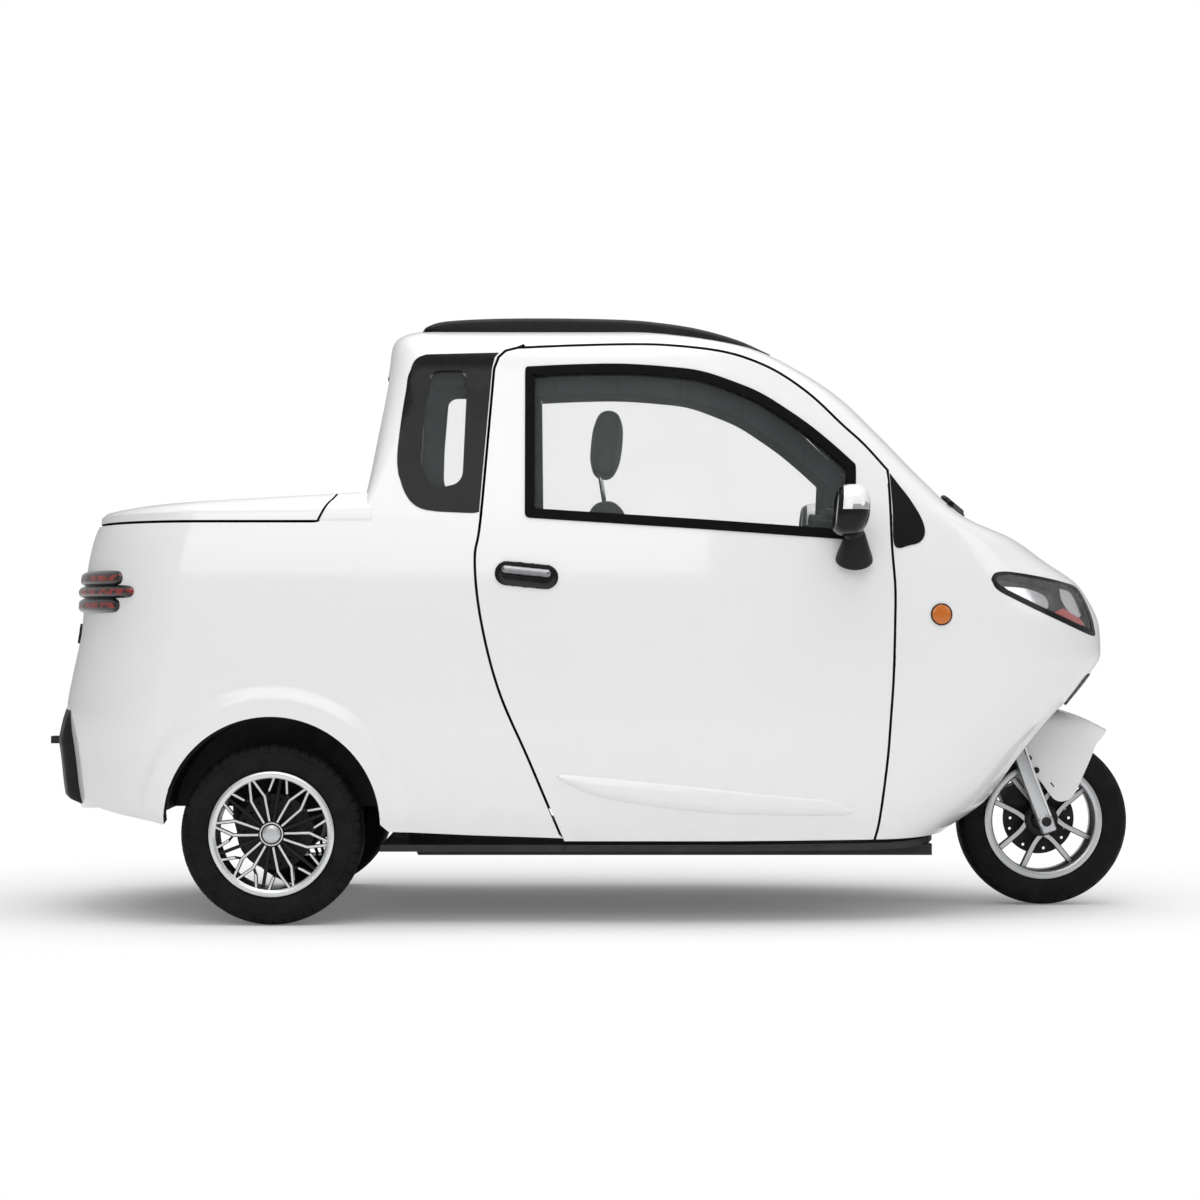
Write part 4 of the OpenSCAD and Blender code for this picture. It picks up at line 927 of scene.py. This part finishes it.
bpy.ops.object.mode_set(mode="OBJECT")
for f in head.data.polygons:
    f.select = f.normal.x < -0.95
bpy.ops.object.mode_set(mode="EDIT")
bpy.ops.mesh.inset(thickness=0.006)
bpy.ops.transform.translate(value=(0.004, 0, 0))
bpy.ops.object.mode_set(mode="OBJECT")
for coat in (white_paint, mirror_glass, bright):
    head.data.materials.append(coat)
for f in head.data.polygons:
    out = f.center - HEAD
    above = out.z > 0 and out.x - 0.006 * out.z / 0.067 > -0.026
    f.material_index = 2 if f.select else 3 if above and out.z < 0.016 and out.x > 0 else 1 if above else 0
bpy.ops.mesh.primitive_cone_add(vertices=40, radius1=0.052, radius2=0.022, depth=0.095,
    location=(0.696, 0.574, 0.99), rotation=(math.radians(-33), 0, 0))
foot = settled("mirror_foot", satin_black, 0.01, 3)
bpy.ops.mesh.primitive_uv_sphere_add(segments=28, ring_count=16, radius=1, location=(0.69, 0.606, 1.03),
    scale=(0.026, 0.045, 0.026), rotation=(math.radians(38), 0, 0))
stalk = settled("mirror_stalk", satin_black)
mirror = join("mirror_left", head, foot, stalk)
bpy.ops.object.shade_smooth_by_angle(angle=math.radians(50))
for side, piece in (("left", mirror), ("right", other_side(mirror, "mirror_right"))):
    fit(piece, "door_" + side, "black_plastic", "door_mirror_" + side)

# Front mudguard: a white moulding on the fork over the tyre, drawn out to a beak at the front.
# Its side plates run down towards the axle and are held by two black bolts, with a slot below them.
guard_top = curve(mm([1190, 557], [1240, 557], [1303, 549], [1380, 524], [1451, 489]), 6)
guard_low = curve(mm([1451, 489], [1430, 468], [1412, 447], [1400, 415], [1367, 340], [1351, 309],
    [1335, 295], [1314, 290], [1296, 297], [1280, 316], [1263, 340], [1235, 372], [1202, 412], [1190, 470]), 5)
guard_ridge = np.concatenate([guard_top, guard_top[::-1]])


def guard_point(xz):
    down = np.clip(from_edge(xz, [guard_ridge]) / 0.05, 0, 1)
    return np.stack([xz[:, 0], 0.0665 * (1 - (1 - down) ** 2.2) ** (1 / 2.2), xz[:, 1]], 1)


guard = panel("mudguard", guard_point, np.concatenate([guard_top[:-1], guard_low]), (), 0.006, (1.27, 0, 0.3))
mirror_y(guard)
thicken(guard, 0.003, white_paint)
bpy.ops.object.shade_smooth_by_angle(angle=math.radians(40))


def turned_pin(name, at_point, radius, length, coat, edge=0.001):
    """Short round piece across the vehicle with an eased edge"""
    bpy.ops.mesh.primitive_cylinder_add(vertices=32, radius=radius, depth=length, location=at_point,
        rotation=(math.pi / 2, 0, 0))
    return settled(name, coat, edge)


BOLTS = ((1.225, 0.410), (1.246, 0.377))
bolts = [turned_pin("guard_bolt", (x, 0.0675, z), 0.009, 0.005, satin_black) for x, z in BOLTS]
slot_line = capsule(np.array([1.287, 0.342]), np.array([1.295, 0.332]), 0.0018)
slit = panel("guard_slot", lambda xz: np.stack([xz[:, 0], np.full(len(xz), 0.0672), xz[:, 1]], 1), slot_line,
    (), 0.003, (1.29, 0, 0.34))
thicken(slit, 0.001, satin_black)
fixings = join("guard_fixings", *bolts, slit)
guard = join("mudguard", guard, fixings, other_side(fixings, "twin"))
fit(guard, "steering", "white_panel", "front_mudguard")

# Fork: a flat forged leg each side of the wheel with a strip of brighter metal down its front edge as a
# painted highlight, a crown over the tyre and the steering stem. The axle passes through both legs and ends in
# dark nuts.
alloy, shader, at = finish("silver_alloy", Metallic=1.0)
cast = noise(at, 420, 4)
put(shader["Base Color"], blend(at, spread(cast, 0.35, 0.65, 0.0, 1.0), (0.53, 0.54, 0.55),
    (0.60, 0.61, 0.62)))
put(shader["Roughness"], spread(cast, 0.3, 0.7, 0.28, 0.38))
bump(shader, noise(at, 1600, 2), 0.12, 0.0004)

# Dark steel for nuts, hub, crown and stem; on the brake discs its near-black is painted shade behind the rims
dark_steel, shader, at = finish("dark_steel", Metallic=0.8, Specular_IOR_Level=0.2)
put(shader["Base Color"], blend(at, noise(at, 40, 4), (0.022, 0.022, 0.024), (0.05, 0.05, 0.053)))
put(shader["Roughness"], spread(noise(at, 70, 4), 0.3, 0.7, 0.35, 0.6))

AXLE = np.array([1.2685, 0.2365])
LEG = np.array([0.025, 0.088])


def set_in(piece, place, turn):
    """Turns a piece made about the origin, moves it to its place and takes both into its mesh"""
    choose(piece)
    piece.rotation_euler = turn
    piece.location = place
    bpy.ops.object.transform_apply(location=True, rotation=True)
    return piece


def block(name, low, high, coat, edge=0):
    """Block between two corners"""
    centre, size = [(a + b) / 2 for a, b in zip(low, high)], [b - a for a, b in zip(low, high)]
    bpy.ops.mesh.primitive_cube_add(size=1, location=centre, scale=size)
    return settled(name, coat, edge, 3)


def fork_block(name, low, high, edge, coat):
    return set_in(block(name, low, high, coat, edge), STEM, (0, -RAKE, 0))


def fork_tube(name, x, y, low, high, radius, coat):
    bpy.ops.mesh.primitive_cylinder_add(vertices=48, radius=radius, depth=high - low,
        location=(x, y, (low + high) / 2))
    return set_in(settled(name, coat, 0.002), STEM, (0, -RAKE, 0))


leg = fork_block("leg", (LEG[0] - 0.021, LEG[1] - 0.017, -0.042), (LEG[0] + 0.021, LEG[1] + 0.017, 0.275),
    0.007, alloy)
# The brighter metal on the leg's front edge is a painted highlight
rib = fork_block("leg_highlight_strip", (LEG[0] + 0.013, LEG[1] + 0.008, 0.0), (LEG[0] + 0.0205, LEG[1] + 0.0205, 0.273),
    0.003, bright)
slide = fork_tube("slide", LEG[0], LEG[1], 0.265, 0.3, 0.016, bright)
nut = turned_pin("axle_nut", (AXLE[0], LEG[1] + 0.019, AXLE[1]), 0.0135, 0.016, dark_steel, 0.003)
collar = turned_pin("axle_collar", (AXLE[0], LEG[1] + 0.014, AXLE[1]), 0.021, 0.012, alloy, 0.003)
side_gear = join("fork_leg", leg, rib, slide, nut, collar)
crown = fork_block("crown", (-0.032, -LEG[1] - 0.021, 0.295), (LEG[0] + 0.021, LEG[1] + 0.021, 0.33), 0.008,
    dark_steel)
stem = fork_tube("stem", 0, 0, 0.329, (0.95 - STEM.z) / math.cos(RAKE), 0.022, dark_steel)
axle = turned_pin("axle", (AXLE[0], 0, AXLE[1]), 0.010, 0.19, dark_steel)
fork = join("fork_fitted", side_gear, other_side(side_gear, "twin"), crown, stem, axle)
fit(fork, "steering", "silver_alloy", "fork", smooth=40)

# Tyres: black road tyres with cut grooves; the front one has swept grooves from the middle to the shoulder,
# the rear ones have two rings and short cuts across each shoulder.
tyre_rubber, shader, at = finish("tyre_rubber", IOR=1.45, Specular_IOR_Level=0.14)
scuff = noise(at, 28, 5)
put(shader["Base Color"], blend(at, spread(scuff, 0.35, 0.7, 0.0, 1.0), (0.005, 0.005, 0.0055),
    (0.012, 0.012, 0.0125)))
put(shader["Roughness"], spread(scuff, 0.3, 0.7, 0.5, 0.72))
bump(shader, noise(at, 1700, 2), 0.2, 0.0005)

# side of the middle, drop below the crown, share of a cross cut
FRONT_SECTION = mm([0, 0, 0], [5, 0.1, 0], [8, 0.2, 1000], [16, 0.5, 1000], [26, 1.2, 1000], [35, 2.6, 1000],
    [42, 5.5, 1000], [47, 8.4, 1000], [51, 11.5, 700], [54, 15, 0], [56.3, 20, 0], [57.6, 26, 0],
    [57.0, 27.5, 0], [57.9, 29, 0], [58, 38, 0], [58, 48, 0], [57, 56, 0], [54.5, 64, 0], [53.6, 65.5, 0],
    [53.2, 67.5, 0], [49, 72, 0], [40, 77.5, 0])
REAR_SECTION = mm([0, 0, 0], [7, 0, 0], [8, 5, 0], [12.5, 5, 0], [13.5, 0, 0], [20, 0.1, 0], [27, 0.4, 0],
    [28, 5.2, 0], [32, 5.3, 0], [33, 0.8, 600], [40, 1.6, 1000], [46, 3.8, 1000], [51, 6.5, 1000],
    [55, 9.4, 1000], [58.2, 14.5, 800], [59.6, 19, 0], [60.6, 24.5, 0], [59.6, 26, 0], [60.8, 27.5, 0],
    [61, 36, 0], [61, 47, 0], [60.3, 55, 0], [58.6, 62, 0], [57.4, 64, 0], [57, 66, 0], [53, 72.5, 0],
    [43, 79.5, 0])


def tyre(name, axle, y, section, pitches, lean, depth):
    """Tyre on the ground from its half section; the cross cut of each pitch leans back to the shoulder"""
    rows = np.concatenate([section[::-1] * [-1, 1, 1], section[1:]])
    marks, cut = np.array([0, 0.03, 0.11, 0.14, 0.42, 0.71]), np.array([0, 1, 1, 0, 0, 0])
    turn = 2 * math.pi / pitches * (np.arange(pitches)[:, None] + marks).ravel()
    cut = np.tile(cut, pitches)
    angle = turn[None] + lean * np.minimum(np.abs(rows[:, :1]), 0.05) / 0.05
    r = axle[1] - rows[:, 1:2] - depth * rows[:, 2:] * cut[None]
    points = np.stack([axle[0] + r * np.cos(angle), y + rows[:, :1] + 0 * r, axle[1] + r * np.sin(angle)],
        2).reshape(-1, 3)
    n, m = len(rows), len(turn)
    faces = [(i * m + j, i * m + (j + 1) % m, (i + 1) % n * m + (j + 1) % m, (i + 1) % n * m + j)
        for i in range(n) for j in range(m)]
    piece = new_piece(name, points, faces)
    with editing(piece):
        bpy.ops.mesh.normals_make_consistent(inside=False)
    bpy.ops.object.shade_smooth_by_angle(angle=math.radians(32))
    piece.data.materials.append(tyre_rubber)
    return piece


REAR_AXLE = np.array([-0.824, 0.2385])
REAR_Y = 0.525
front_tyre = tyre("front_tyre_fitted", AXLE, 0, FRONT_SECTION, 34, 0.22, 0.0045)
fit(front_tyre, "front_wheel", "tyre_rubber", "front_tyre")
for side, y in (("left", REAR_Y), ("right", -REAR_Y)):
    rear_tyre = tyre("rear_tyre_fitted_" + side, REAR_AXLE, y, REAR_SECTION, 52, 0.02, 0.004)
    fit(rear_tyre, "rear_wheel_" + side, "tyre_rubber", "rear_tyre_" + side)

# Rear rims: gloss black castings with six open petals and a pair of short bars between them,
# all edged with bright machined lines, in a bright lip with a silver cap at the middle.
machined, shader, at = finish("machined_lip", Metallic=1.0)
grain = noise(at, 1100, 2)
put(shader["Base Color"], blend(at, grain, (0.68, 0.69, 0.70), (0.75, 0.76, 0.77)))
put(shader["Roughness"], spread(grain, 0.3, 0.7, 0.24, 0.3))


def strip(line, half):
    """Outline of a bar of even width along an open line"""
    step = np.diff(line, axis=0)
    n = np.stack([-step[:, 1], step[:, 0]], 1) / np.hypot(*step.T)[:, None]
    m = np.concatenate([n[:1], (n[1:] + n[:-1]) / (1 + np.sum(n[1:] * n[:-1], 1))[:, None], n[-1:]])
    return np.concatenate([line + half * m, (line - half * m)[::-1]])


def bar(name, loop, face, depth, edge, coat):
    """Flat bar in the wheel's plane, from its outer face inwards, with eased edges"""
    piece = new_piece(name, [(x, face, z) for x, z in loop], [list(range(len(loop)))])
    with editing(piece):
        bpy.ops.mesh.extrude_region_move(TRANSFORM_OT_translate={"value": (0, depth, 0)})
        bpy.ops.mesh.select_all(action="SELECT")
        bpy.ops.mesh.normals_make_consistent(inside=False)
    ease(piece, edge, 1)
    piece.data.materials.append(coat)
    return piece


def spun(name, section, axle, y, coat, steps=96):
    """Ring turned about an axle from a closed line of radius and side"""
    piece = new_piece(name, [(axle[0] + r, y + s, axle[1]) for r, s in section], [],
        [(i, (i + 1) % len(section)) for i in range(len(section))])
    with editing(piece):
        bpy.ops.mesh.spin(steps=steps, angle=2 * math.pi, center=(axle[0], y, axle[1]), axis=(0, 1, 0))
        bpy.ops.mesh.select_all(action="SELECT")
        bpy.ops.mesh.remove_doubles(threshold=0.00002)
        bpy.ops.mesh.normals_make_consistent(inside=False)
    piece.data.materials.append(coat)
    return piece


def about_axle(piece, count, axle):
    """The piece and its copies, spaced evenly about an axle"""
    copies = [piece]
    for i in range(1, count):
        twin = copy_of(piece, piece.name)
        with editing(twin):
            bpy.ops.transform.rotate(value=2 * math.pi * i / count, orient_axis="Y",
                center_override=(axle[0], 0, axle[1]))
        copies.append(twin)
    return join(piece.name, *copies)


def on_wheel(axle, turn, points):
    """Places in the wheel's plane from distances along and across a spoke's line"""
    u, v = np.array(points).T / 1000
    c, s = math.cos(turn), math.sin(turn)
    return axle + np.stack([u * c - v * s, u * s + v * c], 1)


def polar(r, degrees):
    return (r * math.cos(math.radians(degrees)), r * math.sin(math.radians(degrees)))


PETAL_TURN = math.radians(-9.2)
FACE = -REAR_Y - 0.053
spoke_pieces = []
for s in (1, -1):
    edge_line = on_wheel(REAR_AXLE, PETAL_TURN, [(33, 7.5 * s), (98, 18.7 * s), (147, 5 * s)])
    short_line = on_wheel(REAR_AXLE, PETAL_TURN, [polar(147, 23.6 * s), polar(112, 17.7 * s)])
    link_line = on_wheel(REAR_AXLE, PETAL_TURN, [polar(113, 18.2 * s), (97, 18 * s)])
    spoke_pieces += [bar("petal", strip(edge_line, 0.0046), FACE, 0.014, 0.0008, gloss_black),
                     bar("short", strip(short_line, 0.0042), FACE, 0.014, 0.0008, gloss_black),
                     bar("link", strip(link_line, 0.003), FACE + 0.001, 0.012, 0.0008, gloss_black),
                     bar("petal_line", strip(edge_line, 0.0030), FACE - 0.0012, 0.002, 0.0005, machined),
                     bar("short_line", strip(short_line, 0.0028), FACE - 0.0012, 0.002, 0.0005, machined)]
rib_line = on_wheel(REAR_AXLE, PETAL_TURN, [polar(28, 30), polar(150, 30)])
spoke_pieces.append(bar("rib", strip(rib_line, 0.0045), FACE + 0.006, 0.008, 0.001, gloss_black))
spokes = about_axle(join("rear_spokes", *spoke_pieces), 6, REAR_AXLE)
lip = spun("rear_lip", mm([143.5, -46], [144, -51.5], [147.5, -56], [153, -58], [160, -58], [163.5, -56],
    [163, -50], [150, -44]), REAR_AXLE, -REAR_Y, machined)
barrel = spun("rear_barrel", mm([145.5, -44.5], [145.5, 50], [152, 56], [160, 57], [163, 52], [158.5, 44],
    [158.5, -44.5]), REAR_AXLE, -REAR_Y, gloss_black)
boss = spun("rear_boss", mm([11, 34], [34, 34], [34, -33], [33, -49], [11, -49]), REAR_AXLE, -REAR_Y,
    gloss_black)
ring = spun("rear_ring", mm([27, -48], [27.4, -53], [30.6, -53], [31.4, -48]), REAR_AXLE, -REAR_Y, machined)
cap = spun("rear_cap", mm([0, -48], [24.5, -48], [24.3, -52], [22, -54.5], [14, -55.8], [0, -56.2]),
    REAR_AXLE, -REAR_Y, alloy)
rear_rim = join("rear_rim_fitted_right", spokes, lip, barrel, boss, ring, cap)
bpy.ops.object.shade_smooth_by_angle(angle=math.radians(40))
other_rim = copy_of(rear_rim, "rear_rim_fitted_left")
with editing(other_rim):
    bpy.ops.transform.rotate(value=math.pi, orient_axis="Z", center_override=(REAR_AXLE[0], 0, REAR_AXLE[1]))
for side, piece in (("left", other_rim), ("right", rear_rim)):
    fit(piece, "rear_wheel_" + side, "black_alloy", "rear_rim_" + side)

# Front rim: a black casting on a dark steel hub; its four wishbone spokes and both lips
# are machined bright on their outer faces.
WISHBONE = [(40, 2), (47, 9), (56, 19), (70, 30.5), (95, 47), (128, 68)]
SPOKE_TURN = math.radians(7)
wish_pieces = []
for s in (1, -1):
    arm_line = curve(on_wheel(AXLE, SPOKE_TURN, [(u, v * s) for u, v in WISHBONE]), 5)
    wish_pieces += [bar("arm", strip(arm_line, 0.0078), -0.0095, 0.019, 0.001, satin_black),
                    bar("arm_face", strip(arm_line, 0.0066), -0.0115, 0.003, 0.001, alloy),
                    bar("arm_back", strip(arm_line, 0.0066), 0.0085, 0.003, 0.001, alloy)]
wishbones = about_axle(join("front_spokes", *wish_pieces), 4, AXLE)
lip_line = mm([141.5, -43], [142, -48.5], [145.5, -52.5], [151, -54], [158, -54], [163.2, -52.5],
    [162.8, -47], [150, -41])
front_lips = [spun("front_lip", lip_line * [1, s], AXLE, 0, alloy) for s in (1, -1)]
front_barrel = spun("front_barrel", mm([145.5, -42], [144.5, 0], [145.5, 42], [158.5, 42], [158.5, -42]),
    AXLE, 0, rubber)
front_boss = spun("front_boss", mm([11, -34], [24, -34], [27, -30], [30, -17], [46, -12.5], [49, -9], [49, 9],
    [46, 12.5], [30, 17], [27, 30], [24, 34], [11, 34]), AXLE, 0, dark_steel)
front_rim = join("front_rim_fitted", wishbones, *front_lips, front_barrel, front_boss)
fit(front_rim, "front_wheel", "silver_alloy", "front_rim", smooth=40)

# Driver's seat: a foam cushion, backrest and headrest in grey leather-look cover, on the battery box.
# Each pad is swollen by its stuffing inside the sewn cover; the headrest stands on two steel posts.
cover, shader, at = finish("seat_cover", Sheen_Weight=0.15)
hide = at.node("ShaderNodeTexVoronoi", {"feature": "DISTANCE_TO_EDGE"}, {"Vector": at, "Scale": 420.0})
patch = noise(at, 9, 4)
put(shader["Base Color"], blend(at, patch, (0.030, 0.030, 0.032), (0.058, 0.057, 0.058)))
put(shader["Roughness"], spread(patch, 0.3, 0.7, 0.45, 0.62))
bump(shader, spread(hide, 0.0, 0.12, 0.0, 1.0), 0.35, 0.0006)

LEAN = math.radians(9)
BACK_FOOT = Vector((0.07, 0, 0.591))


def pad(name, low, high, edge, crown, on_back):
    """Foam block with eased edges, set on the backrest's line where it belongs there"""
    piece = block(name, low, high, cover)
    with editing(piece):
        bpy.ops.mesh.bevel(offset=edge, segments=4, affect="EDGES")
        bpy.ops.mesh.select_all(action="SELECT")
        bpy.ops.mesh.subdivide(number_cuts=2)
    for v in piece.data.vertices:
        v.co.y *= 1 - crown * ((v.co.z - low[2]) / (high[2] - low[2])) ** 2
    if on_back:
        set_in(piece, BACK_FOOT, (0, -LEAN, 0))
    return piece


def stuff(piece, swell, sewn):
    """Swells the pad inside its cover, at most by the given distance, and pulls the sewn lines in"""
    apply(piece, "REMESH", mode="VOXEL", voxel_size=0.0065)
    before = np.array([v.co for v in piece.data.vertices])
    cloth = piece.modifiers.new("stuffing", "CLOTH")
    cloth.settings.use_pressure = True
    cloth.settings.uniform_pressure_force = 4
    cloth.settings.effector_weights.gravity = 0
    for step in range(1, 21):
        scene.frame_set(step)
    stuffed = piece.evaluated_get(bpy.context.evaluated_depsgraph_get())
    swollen = np.array([v.co for v in stuffed.data.vertices])
    piece.modifiers.remove(cloth)
    move = swollen - before
    move *= np.minimum(1, swell / np.maximum(np.linalg.norm(move, axis=1), 1e-9))[:, None]
    for v, p in zip(piece.data.vertices, before + move):
        v.co = p
    scene.frame_set(1)
    for v in piece.data.vertices:
        v.co += Vector(sewn(v.co, v.normal))
    apply(piece, "SUBSURF", levels=1, render_levels=1)
    bpy.ops.object.shade_smooth()
    piece.data.materials.clear()
    piece.data.materials.append(cover)
    fit(piece, "chassis", "seat_cover", piece.name.replace("_pad", ""))


def dip(distance, width, depth):
    return depth * math.exp(-(distance / width) ** 2)


def seat_seams(p, n):
    across = sum(dip(p.x - x, 0.007, 0.005) for x in (0.2, 0.29, 0.38, 0.47))
    pull = dip(abs(p.y) - 0.135, 0.008, 0.007) + across * (abs(p.y) < 0.135)
    return (0, 0, -pull * max(n.z, 0))


def back_seams(p, n):
    up = p.z - BACK_FOOT.z
    across = sum(dip(up - z, 0.007, 0.005) for z in (0.14, 0.24, 0.34, 0.44))
    pull = dip(abs(p.y) - 0.13, 0.008, 0.007) + across * (abs(p.y) < 0.13)
    return (-pull * max(n.x, 0), 0, 0)


def rest_seams(p, n):
    pull = dip(abs(p.y) - 0.075, 0.006, 0.005)
    return (-pull * max(n.x, 0), 0, 0)


seat = pad("seat_base_pad", (0.088, -0.23, 0.4685), (0.56, 0.23, 0.578), 0.034, 0.02, False)
stuff(seat, 0.011, seat_seams)
back = pad("seat_back_pad", (0.012, -0.232, 0.012), (0.098, 0.232, 0.536), 0.034, 0.14, True)
stuff(back, 0.010, back_seams)
REST_FOOT = BACK_FOOT + Vector((-0.03, 0, 0.6))
rest = pad("headrest_pad", (0.03, -0.116, 0.598), (0.1, 0.116, 0.785), 0.03, 0.08, True)
choose(rest)
nod = Matrix.Rotation(math.radians(15), 4, "Y")
rest.matrix_world = Matrix.Translation(REST_FOOT) @ nod @ Matrix.Translation(-REST_FOOT)
bpy.ops.object.transform_apply(location=True, rotation=True)
stuff(rest, 0.009, rest_seams)
posts = []
for y in (-0.06, 0.06):
    bpy.ops.mesh.primitive_cylinder_add(vertices=24, radius=0.006, depth=0.1, location=(0.058, y, 0.585))
    posts.append(set_in(settled("headrest_post", bright, 0.001), BACK_FOOT, (0, -LEAN, 0)))
posts = join("headrest_posts", *posts)
fit(posts, "chassis", "bright_trim", smooth=40)

# Nose grille and tail latch: small black plastic mouldings with eased edges,
# clipped into the nose lip and the tail panel; the grille has level slats, drawn as bands whose darker stripes
# are painted shade.
def on_end(skin, out):
    def place(flat):
        p = skin.point(flat)
        p[:, 0] += skin.way * out
        return p
    return place


def end_line(skin, half, low, high):
    """Outline of the left half of a piece at the nose or tail, by its half width and heights"""
    corner = np.linspace(0, math.pi / 2, 8)
    round_off = 0.3 * (high - low)
    top = np.stack([half - round_off + round_off * np.sin(corner),
        high - round_off + round_off * np.cos(corner)], 1)
    low_end = np.stack([half - round_off + round_off * np.cos(corner),
        low + round_off - round_off * np.sin(corner)], 1)
    return skin.flat_front(np.concatenate([[[0, high]], top, low_end, [[0, low]]]))


grille, shader, at = finish("grille_plastic", Roughness=0.5)
# The darker bands between the slats are painted shade, the lighter ones their lit faces
slats_and_gap_shade = at.node("ShaderNodeTexWave", {"bands_direction": "Z"}, {"Vector": at, "Scale": 22.0,
    "Distortion": 0.0})
put(shader["Base Color"], blend(at, slats_and_gap_shade, (0.004, 0.004, 0.004), (0.03, 0.03, 0.032)))
bump(shader, slats_and_gap_shade, 0.6, 0.004)
for name, skin, half, low, high, out, coat in (("nose_grille", front_skin, 0.16, 0.56, 0.645, 0.004, grille),
        ("tail_latch", tail_skin, 0.055, 0.73, 0.785, 0.012, satin_black)):
    trim = panel(name, on_end(skin, out), end_line(skin, half, low, high), (), 0.01)
    mirror_y(trim)
    thicken(trim, out + 0.002, coat)
    ease(trim, 0.002, 2)
    fit(trim, "chassis", "black_plastic", smooth=40)

# Wiper: a black steel arm on a capped spindle in the cowl,
# with a rubber blade lying along the foot of the glass.
def on_screen(y, z, out):
    p = front_skin.point(front_skin.flat_front(np.array([[abs(y), z]])))[0]
    return Vector((p[0] + 0.7 * out, y, p[2] + 0.7 * out))


def rod(name, start, end, wide, deep, coat):
    """Flat bar between two places with eased edges"""
    bpy.ops.mesh.primitive_cube_add(size=1, location=(0, 0, 0), scale=(wide, deep, (end - start).length))
    turn = (end - start).to_track_quat("Z", "X").to_euler()
    return set_in(settled(name, coat, min(wide, deep) * 0.3), (start + end) / 2, turn)


spindle = on_screen(0.12, 1.058, 0.0)
knee = spindle + Vector((-0.004, -0.004, 0.042))
rest_at = on_screen(-0.14, 1.118, 0.016)
blade_line = [on_screen(y, 1.104, 0.007) for y in (0.09, -0.02, -0.13, -0.24, -0.35)]
clip_ends = rest_at + Vector((-0.004, 0.02, 0.004)), rest_at + Vector((-0.004, -0.03, -0.006))
wiper = join("wiper", rod("spindle", spindle - Vector((0.012, 0, 0.012)), knee, 0.022, 0.022, satin_black),
    rod("arm", knee + Vector((0.006, 0.012, 0)), rest_at, 0.016, 0.009, satin_black),
    rod("clip", *clip_ends, 0.016, 0.014, satin_black),
    *[rod("blade", a, b, 0.01, 0.016, rubber) for a, b in zip(blade_line, blade_line[1:])])
fit(wiper, "chassis", "black_plastic", smooth=40)

# Frame, floor and running gear: these keep the shapes of the solids, in black chassis paint, grey board,
# near-black brake steel, which on the rear discs is painted shade behind the rims, and moulded black plastic.
chassis_paint, shader, at = finish("chassis_paint", IOR=1.45)
grime = noise(at, 12, 6)
put(shader["Base Color"], blend(at, spread(grime, 0.4, 0.75, 0.0, 1.0), (0.012, 0.012, 0.013),
    (0.04, 0.037, 0.034)))
put(shader["Roughness"], spread(grime, 0.3, 0.7, 0.35, 0.7))
bump(shader, noise(at, 500, 3), 0.15, 0.001)

board, shader, at = finish("grey_board", Roughness=0.8)
fibre = noise(at, 300, 4)
put(shader["Base Color"], blend(at, fibre, (0.06, 0.06, 0.063), (0.13, 0.13, 0.132)))
bump(shader, fibre, 0.3, 0.001)

for coat, nodes in (
        (chassis_paint, "frame head_frame rear_frame floor_pan rear_axle leaf_springs battery_box"),
        (satin_black, "front_well rear_arch_liners dash handlebar lid_hinges"),
        (board, "partition load_floor"),
        # the rear discs' near-black is painted shade for the shade they sit in behind the rims
        (dark_steel, "front_disc front_caliper rear_disc_left rear_disc_right")):
    for node in nodes.split():
        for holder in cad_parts[node].material_slots:
            holder.material = coat
